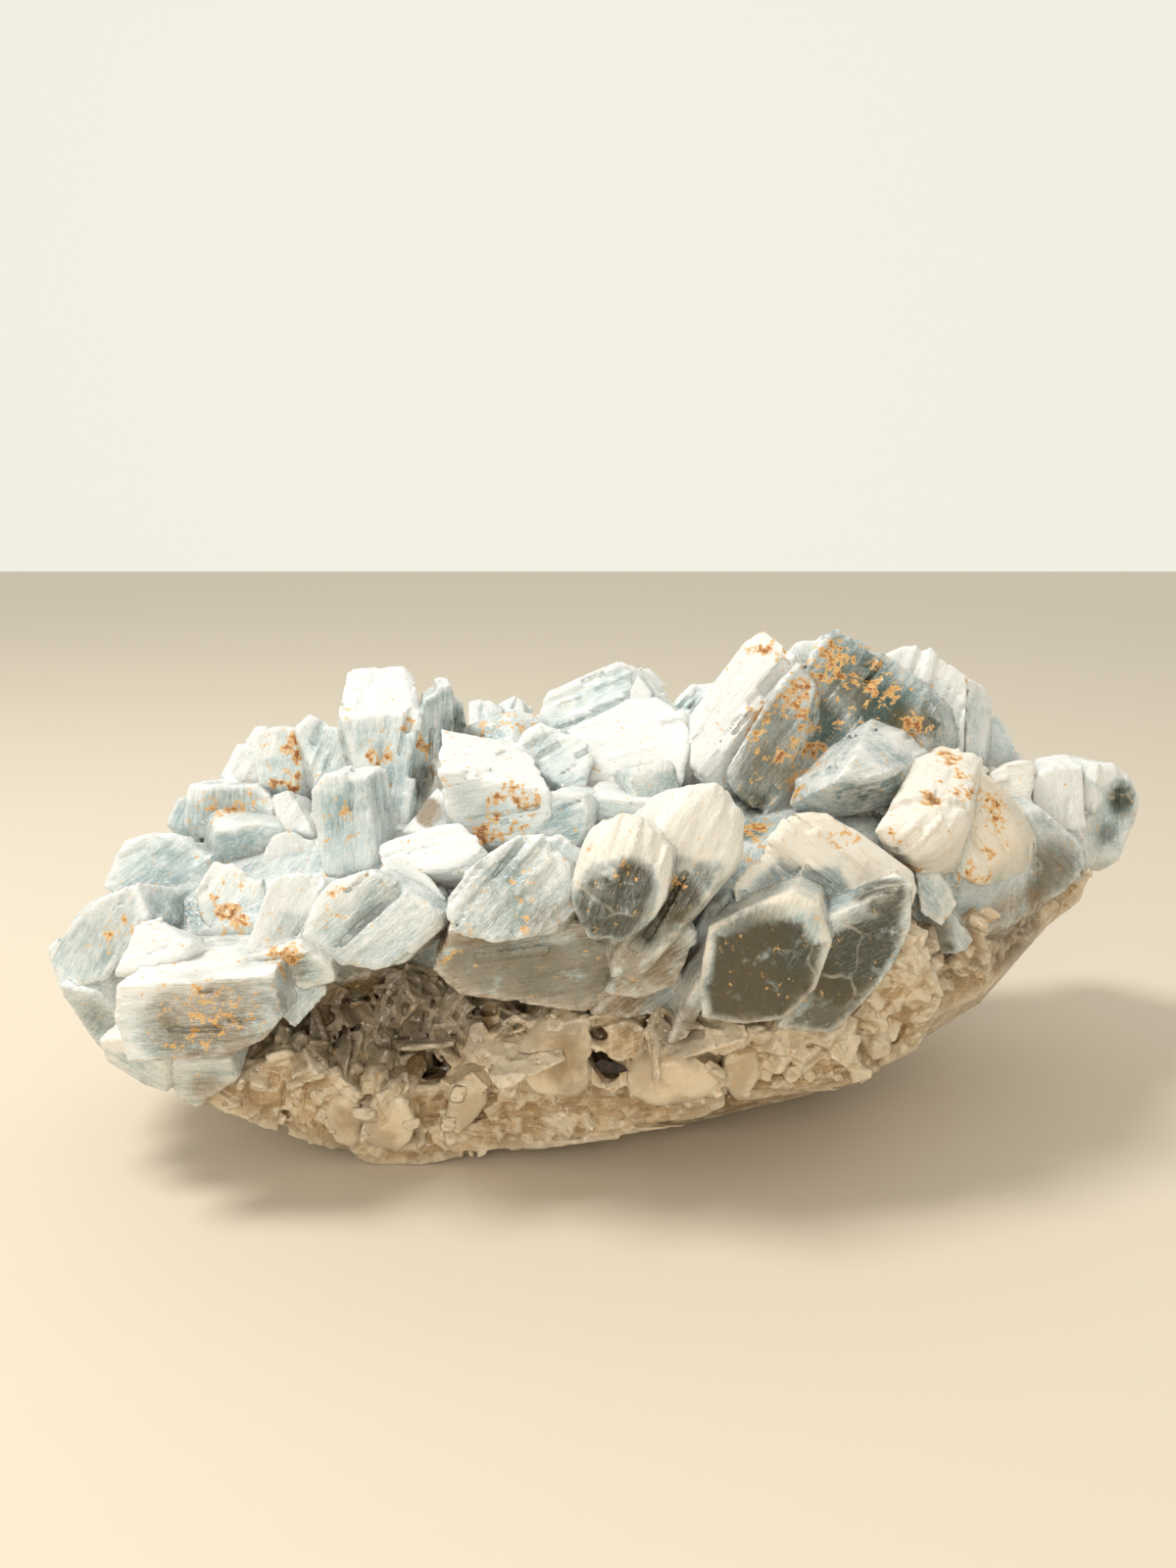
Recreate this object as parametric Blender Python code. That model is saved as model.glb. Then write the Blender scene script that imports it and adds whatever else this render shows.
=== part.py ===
"""A cluster of blue barite crystals grown together on its pale crystalline matrix, resting on a small flat spot.

Each crystal that shows from the front is drawn by the corners of its nearest face, as the photograph shows them, with
the depth of that face, the way it tilts, and how far the crystal runs back. The hidden sides carry crystals of the same
kind, set by a seeded rule. Lengths in the tables are millimetres and angles are degrees; the finished solids are metres.
The origin is the middle of the flat spot that the specimen rests on: +X runs along it, +Y away from its front, +Z up.
"""

import math
import random
from collections import namedtuple

import bmesh
import bpy
from mathutils import Matrix, Vector

MM = 0.001

# Driving dimensions, in millimetres: the hair of room between the matrix and the blue crust, and the dark grain
SEAM = 0.3
BED_SEAM = 0.7
DARK_GRAIN_SIZE = (5.2, 3.0, 2.6)
DARK_GRAIN_DEPTH = -41.5
DARK_GRAIN_SEEN = (624, 1089)

# Where the photograph was taken from, which turns a place in it and a depth into a place on the specimen
VIEW_FROM = Vector((-1.1, -316.6, 146.6))
VIEW_PITCH = math.radians(12.6)
FOCAL_PIXELS = 1500.0
PICTURE_MIDDLE = (600.0, 800.0)

Crystal = namedtuple("Crystal", "name face depth tilt run taper bevel peaks", defaults=(0.82, 1.6, ()))

# Blue crystals that show from the front: corners in photograph pixels, depth and run in millimetres, tilt in degrees
# (how fast the face falls back to the right, and upwards).
LEFT_END = [
    Crystal("left_tip", [(46, 968), (100, 917), (140, 899), (150, 935), (128, 975), (108, 998), (62, 1012)],
            -34, (-25, 20), (14, 24, -8)),
    Crystal("left_tip_low", [(62, 1012), (86, 990), (112, 998), (128, 1056), (100, 1062), (78, 1030)],
            -30, (-20, -25), (18, 22, 8)),
    Crystal("left_tip_small", [(114, 996), (132, 962), (143, 938), (160, 937), (197, 963), (188, 978), (150, 990)],
            -42, (0, 30), (8, 14, -9)),
    Crystal("left_block", [(118, 1003), (200, 998), (278, 996), (288, 1038), (268, 1062), (235, 1078), (130, 1084),
                           (116, 1040)], -52, (0, 4), (6, 24, 3), 0.85, 2.0),
    Crystal("left_block_end", [(283, 1005), (300, 990), (330, 1000), (335, 1012), (300, 1050), (288, 1040)],
            -44, (20, 5), (-4, 20, 3)),
    Crystal("left_foot", [(100, 1060), (128, 1058), (172, 1085), (172, 1115), (150, 1108), (108, 1082)],
            -40, (-10, -20), (14, 22, 12)),
    Crystal("left_foot_inner", [(172, 1083), (236, 1080), (245, 1100), (200, 1131), (178, 1118)],
            -38, (0, -25), (4, 22, 14)),
    Crystal("left_shoulder", [(103, 906), (126, 857), (160, 848), (182, 850), (217, 874), (206, 952), (185, 945),
                              (150, 925)], -16, (0, 20), (12, 20, -9)),
    Crystal("stained_block", [(200, 908), (218, 877), (238, 881), (271, 905), (272, 926), (246, 962), (215, 951),
                              (203, 935)], -27, (5, 22), (-3, 18, -8)),
    Crystal("buff_piece", [(216, 872), (242, 861), (264, 857), (273, 880), (262, 890), (232, 880)],
            -10, (0, 30), (2, 15, -4)),
    Crystal("white_post", [(270, 905), (268, 872), (278, 850), (294, 846), (320, 856), (326, 885), (318, 893)],
            -14, (15, 10), (-3, 13, -7)),
    Crystal("white_wedge", [(247, 971), (262, 941), (276, 898), (292, 890), (322, 892), (333, 903), (318, 938),
                            (302, 966), (262, 979)], -40, (18, 14), (12, 16, -5)),
    Crystal("wedge_foot", [(250, 975), (305, 964), (340, 985), (345, 1003), (300, 1010), (262, 992)],
            -44, (0, -8), (0, 22, 2)),
    Crystal("ledge_crystal", [(307, 956), (323, 915), (338, 899), (378, 886), (415, 905), (451, 932), (452, 946),
                              (410, 984), (382, 990), (345, 984), (320, 968)], -51, (8, 16), (6, 22, -5)),
    Crystal("ledge_upper", [(384, 889), (393, 875), (402, 873), (440, 896), (456, 918), (446, 928), (410, 908)],
            -38, (10, 25), (-4, 16, -6)),
    Crystal("tall_prism", [(318, 826), (318, 806), (329, 790), (352, 788), (372, 792), (381, 840), (384, 866),
                           (378, 888), (345, 894), (330, 890)], -24, (8, 6), (3, 14, 0), 0.9, 1.0),
    Crystal("chip_by_prism", [(276, 812), (293, 806), (313, 832), (320, 852), (292, 846), (281, 832)],
            -8, (10, 20), (2, 14, -4)),
    Crystal("upper_slab", [(186, 840), (193, 800), (262, 800), (277, 812), (281, 832), (275, 849), (240, 862),
                           (219, 870), (200, 850)], -2, (0, 8), (-4, 24, -3)),
    Crystal("slab_end", [(168, 843), (180, 815), (195, 808), (200, 830), (190, 848)], 2, (-20, 15), (6, 18, -6)),
    Crystal("ridge_left", [(220, 798), (240, 766), (258, 742), (272, 740), (268, 765), (264, 800)],
            14, (-25, 18), (10, 18, -8)),
    Crystal("ridge_front", [(258, 775), (262, 748), (278, 740), (318, 748), (321, 762), (300, 802), (284, 806),
                            (264, 800)], 8, (0, 12), (4, 20, -3)),
    Crystal("ridge_right", [(300, 742), (316, 729), (346, 742), (374, 760), (379, 792), (350, 800), (322, 800),
                            (318, 776)], 6, (10, 16), (-5, 22, -6)),
    Crystal("peak_block", [(345, 729), (420, 724), (431, 732), (428, 765), (417, 840), (400, 851), (383, 851),
                           (378, 792), (373, 758), (351, 746)], 0, (0, 10), (-4, 29, 8)),
    Crystal("peak_slab_near", [(431, 714), (447, 706), (447, 765), (440, 800), (419, 846), (424, 780)],
            4, (35, 5), (-3, 26, 0)),
    Crystal("peak_slab_middle", [(445, 700), (461, 698), (464, 768), (446, 778)], 8, (30, 5), (-3, 22, 0)),
    Crystal("peak_slab_far", [(460, 714), (473, 714), (476, 746), (474, 767), (461, 773)], 12, (30, 5), (-3, 18, -2)),
]

CENTRE = [
    Crystal("far_left_a", [(477, 741), (478, 714), (498, 712), (512, 722), (500, 741)], 52, (0, 20), (2, 12, -4)),
    Crystal("far_left_b", [(498, 738), (508, 718), (525, 709), (534, 714), (528, 735)], 56, (0, 20), (2, 12, -4)),
    Crystal("far_left_c", [(522, 740), (530, 727), (546, 728), (557, 740), (545, 748)], 50, (0, 20), (2, 12, -4)),
    Crystal("far_flat", [(474, 766), (476, 744), (560, 742), (545, 770)], 44, (0, 5), (0, 16, 1)),
    Crystal("centre_block", [(447, 785), (480, 797), (520, 801), (562, 806), (564, 830), (545, 852), (500, 864),
                             (470, 846), (455, 830)], -24, (4, -4), (-4, 26, 5)),
    Crystal("white_slab", [(386, 880), (386, 862), (402, 855), (450, 841), (470, 840), (497, 868), (470, 887),
                           (430, 893)], -32, (-5, 35), (6, 16, -10)),
    Crystal("striated_wedge", [(408, 850), (447, 801), (462, 818), (467, 840), (430, 853)],
            -16, (-10, 30), (6, 14, -8)),
    Crystal("front_centre", [(453, 922), (470, 887), (500, 871), (531, 851), (548, 850), (582, 882), (588, 925),
                             (563, 955), (500, 962), (468, 955), (455, 940)], -54, (4, 20), (8, 22, -6)),
    Crystal("front_centre_top", [(548, 850), (572, 850), (592, 866), (596, 900), (585, 915), (575, 885)],
            -48, (15, 25), (6, 18, -8)),
    Crystal("centre_shelf", [(440, 988), (458, 950), (500, 960), (560, 952), (610, 940), (650, 955), (645, 1000),
                             (600, 1032), (548, 1026), (500, 1014), (466, 1014)], -46, (3, -22), (-2, 26, 8)),
    Crystal("middle_blue", [(519, 772), (535, 746), (551, 736), (601, 757), (606, 776), (598, 802), (575, 806),
                            (556, 790)], -2, (5, 35), (-5, 18, -10)),
    Crystal("middle_low", [(548, 850), (548, 815), (562, 807), (592, 813), (601, 826), (598, 845), (588, 862)],
            -22, (0, 5), (5, 20, -2)),
    Crystal("white_table", [(576, 746), (641, 713), (671, 711), (692, 724), (704, 742), (705, 762), (694, 803),
                            (672, 815), (640, 822), (606, 820), (597, 800), (600, 770)],
            4, (0, 42), (0, 12, -16), 0.85, 1.5),
    Crystal("table_foot", [(604, 812), (640, 822), (670, 818), (668, 832), (640, 838), (606, 836)],
            -12, (0, 0), (0, 16, 2)),
    Crystal("back_hump", [(549, 727), (560, 707), (600, 687), (632, 674), (642, 684), (644, 708), (612, 722),
                          (578, 742), (560, 745)], 42, (-5, 22), (8, 20, -7)),
    Crystal("back_hump_right", [(632, 675), (647, 681), (662, 685), (692, 716), (692, 728), (668, 714), (643, 708)],
            46, (25, 15), (-4, 18, -9)),
    Crystal("back_white_small", [(642, 706), (650, 688), (664, 706), (650, 714)], 38, (0, 15), (2, 12, -2)),
    Crystal("far_right", [(686, 718), (706, 698), (737, 696), (714, 724), (697, 727)], 60, (0, 20), (0, 12, -4)),
    Crystal("twin_left", [(581, 902), (590, 866), (602, 843), (638, 827), (664, 838), (690, 872), (682, 920),
                          (640, 965), (602, 960), (585, 932)], -57, (0, 14), (6, 26, -6), 0.82, 4.0),
    Crystal("twin_right", [(642, 870), (666, 836), (697, 803), (738, 797), (763, 832), (760, 876), (726, 920),
                           (690, 960), (652, 1000), (622, 1002), (640, 940)], -51, (12, 6), (-4, 30, -5), 0.82, 4.0),
    Crystal("sheets_upper", [(612, 1014), (640, 985), (700, 945), (713, 950), (690, 1005), (652, 1020)],
            -47, (10, -15), (0, 14, 2)),
    Crystal("sheets_lower", [(640, 1040), (600, 1036), (640, 1000), (690, 985), (700, 1000), (680, 1030)],
            -42, (10, -15), (0, 16, 4)),
]

RIGHT_END = [
    Crystal("plate_upper", [(746, 906), (763, 882), (800, 830), (842, 828), (880, 851), (932, 890), (936, 908),
                            (916, 960), (900, 986), (860, 1010), (800, 1000), (760, 960)],
            -40, (8, 14), (8, 24, -8), 0.85, 3.0),
    Crystal("plate_front", [(722, 946), (760, 926), (808, 909), (836, 922), (850, 960), (832, 1010), (800, 1040),
                            (760, 1046), (716, 1040), (712, 1005), (736, 980), (728, 962)],
            -52, (4, 4), (6, 18, 2), 0.85, 2.0),
    Crystal("plate_side", [(838, 938), (932, 900), (930, 945), (910, 988), (882, 1022), (850, 1055), (792, 1050),
                           (815, 1000)], -46, (12, -2), (-4, 22, 4)),
    Crystal("thin_plate", [(690, 1040), (712, 1000), (735, 975), (738, 990), (715, 1030), (700, 1060), (680, 1068)],
            -50, (0, 0), (-2, 16, 0), 0.9, 0.8),
    Crystal("crevice_block", [(705, 955), (722, 925), (745, 910), (752, 925), (728, 962), (715, 985), (700, 990)],
            -36, (0, 10), (0, 18, 0)),
    Crystal("white_lobe", [(889, 851), (901, 831), (926, 819), (956, 818), (988, 827), (990, 842), (962, 870),
                           (932, 881), (912, 869)], -32, (4, 12), (10, 22, 8), 0.82, 4.0),
    Crystal("cream_upper", [(939, 770), (956, 758), (977, 763), (1000, 783), (990, 815), (957, 817), (946, 792)],
            -2, (5, 25), (4, 18, -8), 0.82, 3.0),
    Crystal("cream_lower", [(957, 816), (1000, 784), (1023, 803), (1049, 850), (1045, 866), (1016, 882), (1001, 905),
                            (976, 896), (986, 850)], -12, (12, 18), (12, 22, -8), 0.82, 4.0),
    Crystal("wedge", [(804, 822), (812, 797), (846, 762), (888, 733), (926, 746), (952, 776), (946, 800), (905, 824),
                      (878, 838), (850, 834)], -8, (5, 24), (12, 24, -6), 0.85, 2.0,
            [(872, 772, -24), (900, 788, -25), (848, 800, -25)]),
    Crystal("prism_white", [(704, 786), (703, 730), (736, 692), (752, 670), (760, 655), (778, 642), (812, 668),
                            (796, 692), (770, 722), (742, 766), (718, 792)], 0, (-18, 20), (14, 24, -10)),
    Crystal("prism_stained", [(738, 792), (762, 750), (796, 692), (815, 678), (832, 700), (822, 745), (800, 798),
                              (778, 835), (752, 812)], -6, (10, 12), (12, 22, -4)),
    Crystal("prism_dark", [(798, 802), (822, 745), (830, 700), (824, 674), (838, 651), (853, 643), (896, 661),
                           (916, 674), (953, 706), (960, 738), (944, 766), (900, 775), (850, 790)],
            2, (6, 22), (16, 26, -10)),
    Crystal("prism_cap", [(798, 672), (812, 655), (836, 651), (828, 676)], 14, (0, 20), (4, 16, -4)),
    Crystal("back_white", [(903, 668), (926, 656), (947, 661), (976, 681), (988, 690), (985, 735), (983, 780),
                           (966, 758), (960, 735), (950, 706), (916, 682)], 22, (0, 14), (-4, 20, -8)),
    Crystal("back_white_side", [(986, 690), (1002, 697), (1012, 716), (1001, 732), (1004, 768), (986, 784),
                                (984, 735)], 24, (30, 8), (4, 16, -2)),
    Crystal("small_right", [(1003, 736), (1016, 728), (1032, 750), (1036, 768), (1030, 783), (1004, 782)],
            30, (15, 15), (4, 14, -2)),
    Crystal("white_knob", [(1004, 792), (1020, 781), (1048, 775), (1059, 780), (1052, 800), (1056, 816), (1040, 826),
                           (1020, 812)], 16, (5, 20), (4, 16, -2), 0.82, 3.0),
    Crystal("white_block", [(1053, 798), (1062, 786), (1080, 781), (1104, 781), (1106, 812), (1108, 846),
                            (1086, 850), (1070, 836), (1056, 822)], 22, (5, 10), (4, 20, 0)),
    Crystal("right_tip", [(1107, 850), (1109, 792), (1113, 778), (1136, 777), (1152, 792), (1164, 812), (1160, 832),
                          (1148, 862), (1141, 880), (1118, 882)], 30, (15, 5), (-4, 20, 0), 0.82, 3.0),
    Crystal("right_face", [(1008, 888), (1044, 858), (1046, 826), (1064, 825), (1100, 858), (1110, 880), (1092, 908),
                           (1060, 926), (1020, 928), (985, 930)], 4, (18, 8), (-4, 24, 4)),
    Crystal("dark_wedge", [(974, 928), (1000, 906), (1020, 890), (1032, 900), (1022, 935), (992, 946)],
            -4, (10, -10), (4, 20, 2)),
    Crystal("small_white", [(1000, 936), (1010, 923), (1031, 946), (1020, 956), (1002, 951)],
            -6, (10, 0), (2, 16, 2)),
    Crystal("right_grey", [(921, 951), (946, 931), (976, 932), (994, 960), (986, 972), (958, 976), (930, 968)],
            -20, (10, 5), (4, 22, 2)),
    Crystal("right_sliver", [(934, 886), (945, 876), (970, 906), (976, 926), (960, 946), (940, 932)],
            -24, (15, 10), (4, 18, 2)),
]

# Pale crystals of the matrix that show from the front
MATRIX_FRONT = [
    Crystal("pale_slab", [(527, 1095), (526, 1070), (552, 1040), (600, 1036), (607, 1060), (603, 1110), (590, 1122),
                          (545, 1118)], -42, (0, 2), (0, 24, 4)),
    Crystal("pale_lump", [(372, 1132), (385, 1119), (412, 1121), (424, 1142), (421, 1166), (405, 1178), (380, 1172),
                          (370, 1152)], -36, (0, -5), (0, 24, 4), 0.85, 2.5),
    Crystal("pale_lump_left", [(330, 1135), (342, 1120), (368, 1122), (372, 1150), (362, 1176), (340, 1168)],
            -33, (-5, -10), (0, 24, 6)),
    Crystal("pale_blade", [(456, 1122), (466, 1103), (490, 1100), (500, 1125), (486, 1146), (466, 1162), (455, 1150)],
            -37, (0, -5), (0, 20, 4)),
    Crystal("pale_lens", [(638, 1098), (650, 1083), (700, 1075), (735, 1098), (733, 1116), (700, 1128), (665, 1131),
                          (641, 1118)], -43, (0, -12), (0, 24, 6), 0.85, 3.0),
    Crystal("pale_knob", [(737, 1085), (750, 1065), (770, 1070), (778, 1100), (765, 1120), (750, 1126), (738, 1110)],
            -42, (5, -12), (0, 24, 6), 0.85, 3.0),
    Crystal("base_left", [(196, 1120), (245, 1092), (300, 1070), (335, 1090), (380, 1120), (370, 1180), (330, 1170),
                          (300, 1158), (262, 1148), (245, 1135)], -31, (0, -15), (10, 34, 10)),
    Crystal("base_front", [(345, 1120), (480, 1100), (600, 1095), (738, 1085), (741, 1128), (700, 1149), (600, 1162),
                           (500, 1175), (412, 1186), (385, 1193), (366, 1184)], -31, (0, -4), (0, 60, -8)),
    Crystal("fan_lower", [(742, 1060), (800, 1052), (862, 1052), (880, 1085), (884, 1100), (868, 1110), (835, 1108),
                          (802, 1100), (750, 1122)], -38, (8, -28), (0, 34, 12)),
    Crystal("fan_right", [(862, 1050), (902, 986), (925, 955), (946, 976), (962, 1010), (955, 1040), (935, 1072),
                          (902, 1086), (884, 1096)], -30, (16, -22), (4, 34, 10)),
    Crystal("right_keel", [(985, 960), (1022, 926), (1062, 925), (1096, 905), (1113, 893), (1101, 916), (1060, 952),
                           (1038, 972), (1008, 988), (990, 1012), (972, 1000)], 14, (15, -20), (4, 24, 8)),
    Crystal("hollow_sheet_a", [(384, 1045), (400, 1008), (412, 1006), (410, 1040)], -32, (10, 0), (0, 12, 0)),
    Crystal("hollow_sheet_b", [(438, 1070), (440, 1036), (456, 1012), (468, 1016), (470, 1050), (456, 1074)],
            -36, (-10, 0), (0, 14, 0)),
    Crystal("hollow_sheet_c", [(420, 1040), (408, 1008), (424, 994), (440, 1010), (432, 1040)],
            -34, (20, 0), (0, 12, 0)),
    Crystal("hollow_chip_a", [(312, 1052), (330, 1016), (340, 1016), (350, 1052), (330, 1058)],
            -30, (0, 0), (0, 12, 0)),
    Crystal("hollow_chip_b", [(470, 1075), (480, 1045), (510, 1040), (530, 1060), (524, 1090), (490, 1090)],
            -39, (0, 0), (0, 14, 2)),
    Crystal("chip_in_fan", [(606, 1075), (612, 1050), (640, 1040), (660, 1050), (655, 1078), (630, 1084)],
            -42, (5, 0), (0, 14, 2)),
    Crystal("grain_seat", [(602, 1080), (622, 1074), (643, 1079), (646, 1104), (626, 1116), (604, 1108)],
            -41, (0, 0), (0, 16, 2)),
    Crystal("chip_under_sheets", [(660, 1075), (672, 1048), (696, 1040), (708, 1060), (700, 1078)],
            -44, (0, 0), (0, 14, 2)),
    Crystal("chip_under_plate", [(712, 1072), (716, 1045), (760, 1046), (764, 1066), (740, 1078)],
            -46, (0, -5), (0, 14, 2)),
]

# Sections of the two inner beds that the crystals grow from: x, nearest y, farthest y, lowest z, highest z
MATRIX_BED = [
    (-108, -18, 6, 34, 44),
    (-88, -24, 24, 24, 46),
    (-58, -24, 40, 8, 46),
    (-20, -22, 46, -3, 46),
    (20, -24, 48, -3, 46),
    (56, -22, 50, 6, 48),
    (88, -8, 54, 22, 50),
    (110, 14, 50, 38, 52),
]
CRYSTAL_BED = [
    (-112, -20, 4, 36, 50),
    (-92, -30, 24, 28, 58),
    (-60, -32, 40, 30, 66),
    (-20, -30, 46, 34, 70),
    (20, -32, 50, 34, 72),
    (60, -28, 54, 34, 74),
    (92, -8, 58, 36, 66),
    (118, 22, 50, 44, 60),
]
SECTION_CORNERS = 12

# Rows of crystals on the hidden side: how many, from which x to which, how high on the bed, how steeply they point up
BackRow = namedtuple("BackRow", "count first last height inwards steep")
BACK_ROWS = [
    BackRow(8, -94, 108, 0.22, 0, -0.1),
    BackRow(9, -100, 114, 0.62, 2, 0.4),
    BackRow(7, -80, 98, 0.95, 12, 1.1),
]
CHIP_COUNT = 46

# Crystals smaller than this have plain edges; those that end above the bed get a stem this deep and wide
SMALL_CRYSTAL = 9.0
ROOT_DEPTH = 14.0
ROOT_WIDTH = 0.45

# Faces that meet at less than this angle count as one flat face
FLAT_ANGLE = math.radians(0.1)

# A crystal of the hidden side: its widths, as shares of its size, at heights from its foot to its top
BLOCK_LEVELS = [(-0.6, 1.0), (0.85, 0.92), (1.0, 0.76)]

# The outline that the photograph shows, in its pixels: along the top and along the underside
SKYLINE = [(46, 968), (103, 910), (128, 858), (167, 845), (192, 802), (224, 797), (264, 744), (318, 730), (350, 735),
           (400, 692), (460, 700), (478, 722), (540, 722), (632, 676), (690, 712), (740, 692), (780, 645),
           (850, 645), (915, 662), (985, 690), (1012, 722), (1034, 760), (1056, 780), (1145, 784), (1164, 815)]
KEEL = [(46, 968), (80, 1040), (122, 1088), (200, 1128), (300, 1155), (385, 1190), (560, 1167), (740, 1125),
        (880, 1105), (935, 1070), (960, 1020), (1015, 985), (1060, 955), (1110, 897), (1150, 860), (1164, 815)]


def seen_ray(pixel):
    """The direction in which a place in the photograph lies from the viewpoint."""
    forward = Vector((0, math.cos(VIEW_PITCH), -math.sin(VIEW_PITCH)))
    up = Vector((0, math.sin(VIEW_PITCH), math.cos(VIEW_PITCH)))
    right = Vector((1, 0, 0))
    across = pixel[0] - PICTURE_MIDDLE[0]
    down = pixel[1] - PICTURE_MIDDLE[1]
    return forward * FOCAL_PIXELS + right * across - up * down


def seen_point(pixel, depth):
    """The point at that depth (its y) which the photograph shows at that pixel."""
    ray = seen_ray(pixel)
    return VIEW_FROM + ray * ((depth - VIEW_FROM.y) / ray.y)


def seen_pixel(point):
    """The pixel at which the photograph shows a point."""
    forward = Vector((0, math.cos(VIEW_PITCH), -math.sin(VIEW_PITCH)))
    up = Vector((0, math.sin(VIEW_PITCH), math.cos(VIEW_PITCH)))
    away = point - VIEW_FROM
    scale = FOCAL_PIXELS / away.dot(forward)
    return PICTURE_MIDDLE[0] + away.x * scale, PICTURE_MIDDLE[1] - away.dot(up) * scale


def line_at(line, across):
    """The height of a line of pixels at that place across the picture."""
    for left, right in zip(line, line[1:]):
        if across <= right[0]:
            break
    share = min(1.0, max(0.0, (across - left[0]) / (right[0] - left[0])))
    return left[1] + (right[1] - left[1]) * share


def middle_of(points):
    return sum(points, Vector()) / len(points)


def crystal_points(crystal):
    """The corners of a crystal: its proud near face, its outline, its far end and any peaks."""
    flat = [seen_point(p, crystal.depth) for p in crystal.face]
    middle = middle_of(flat)
    fall = [math.tan(math.radians(a)) for a in crystal.tilt]
    normal = Vector((fall[0], -1, fall[1]))
    outline = []
    for pixel in crystal.face:
        ray = seen_ray(pixel)
        outline.append(VIEW_FROM + ray * (normal.dot(middle - VIEW_FROM) / normal.dot(ray)))
    middle = middle_of(outline)
    reach = max((p - middle).length for p in outline)
    far_middle = middle + Vector(crystal.run)
    far = [far_middle + (p - middle) * crystal.taper for p in outline]
    peaks = [seen_point((x, y), depth) for x, y, depth in crystal.peaks]
    near = []
    if reach > SMALL_CRYSTAL:
        inset = 1 - 1.2 * crystal.bevel / reach
        proud = normal.normalized() * (0.6 * crystal.bevel)
        near = [middle + (p - middle) * inset + proud for p in outline]
    return near + outline + far + peaks + root_points(far_middle, reach)


def root_points(far_middle, reach):
    """Where a crystal ends above its bed, the corners of the stem that ties it down into the bed."""
    near, far, low, high = bed_at(CRYSTAL_BED, far_middle.x)
    if far_middle.z < high - ROOT_DEPTH and far_middle.y < far:
        return []
    foot = Vector((far_middle.x * 0.97, min(max(far_middle.y, near + 12), far - 12), high - ROOT_DEPTH))
    width = reach * ROOT_WIDTH
    return [foot + Vector((x * width, y * width, 0)) for x in (-1, 1) for y in (-1, 1)]


def block_points(foot, outward, size, turn, rng):
    """The corners of a crystal that stands on the bed at foot: a slab with two cut corners and a lower, bevelled top."""
    along = outward.normalized()
    turning = along.to_track_quat("Z", "X").to_matrix() @ Matrix.Rotation(turn, 3, "Z")
    cut = rng.uniform(0.12, 0.3)
    outline = [(-0.5, cut - 0.5), (cut - 0.5, -0.5), (0.5, -0.5), (0.5, 0.5 - cut), (0.5 - cut, 0.5), (-0.5, 0.5)]
    lean = Vector((rng.uniform(-0.12, 0.12), rng.uniform(-0.12, 0.12), 0))
    slope = Vector((rng.uniform(-0.3, 0.3), rng.uniform(-0.3, 0.3), 0))
    points = []
    for height, width in BLOCK_LEVELS:
        for x, y in outline:
            corner = Vector((x * width, y * width, height)) + lean * height
            corner.z += slope.dot(corner) * (height > 0)
            points.append(foot + turning @ Vector((corner.x * size[0], corner.y * size[1], corner.z * size[2])))
    return points


def overshoot(points):
    """How far, in pixels, the corners stand past the outline that the photograph shows."""
    worst = 0
    for point in points:
        across, down = seen_pixel(point)
        worst = max(worst, line_at(SKYLINE, across) - down, down - line_at(KEEL, across))
        worst = max(worst, SKYLINE[0][0] - across, across - SKYLINE[-1][0])
    return worst


def tucked_in(foot, outward, size, turn, rng, step):
    """A crystal of the hidden side, moved by steps towards the middle until the photograph's outline hides it."""
    state = rng.getstate()
    for tries in range(40):
        rng.setstate(state)
        points = block_points(foot, outward, size, turn, rng)
        if overshoot(points) <= 0:
            return points
        foot = foot + Vector((-math.copysign(step[0], foot.x), 0, step[2]))
    return None


def bed_at(bed, x):
    """The section of a bed at x: nearest y, farthest y, lowest z, highest z."""
    for low, high in zip(bed, bed[1:]):
        if x <= high[0]:
            break
    share = min(1.0, max(0.0, (x - low[0]) / (high[0] - low[0])))
    return [a + (b - a) * share for a, b in zip(low[1:], high[1:])]


def bed_ring(bed, x):
    """Corners of the rounded section of a bed at x."""
    near, far, low, high = bed_at(bed, x)
    ring = []
    for i in range(SECTION_CORNERS):
        angle = 2 * math.pi * (i + 0.5) / SECTION_CORNERS
        across = math.copysign(abs(math.cos(angle)) ** 0.7, math.cos(angle))
        upward = math.copysign(abs(math.sin(angle)) ** 0.7, math.sin(angle))
        y = (near + far) / 2 + across * (far - near) / 2
        z = (low + high) / 2 + upward * (high - low) / 2
        ring.append(Vector((x, y, z)))
    return ring


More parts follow.
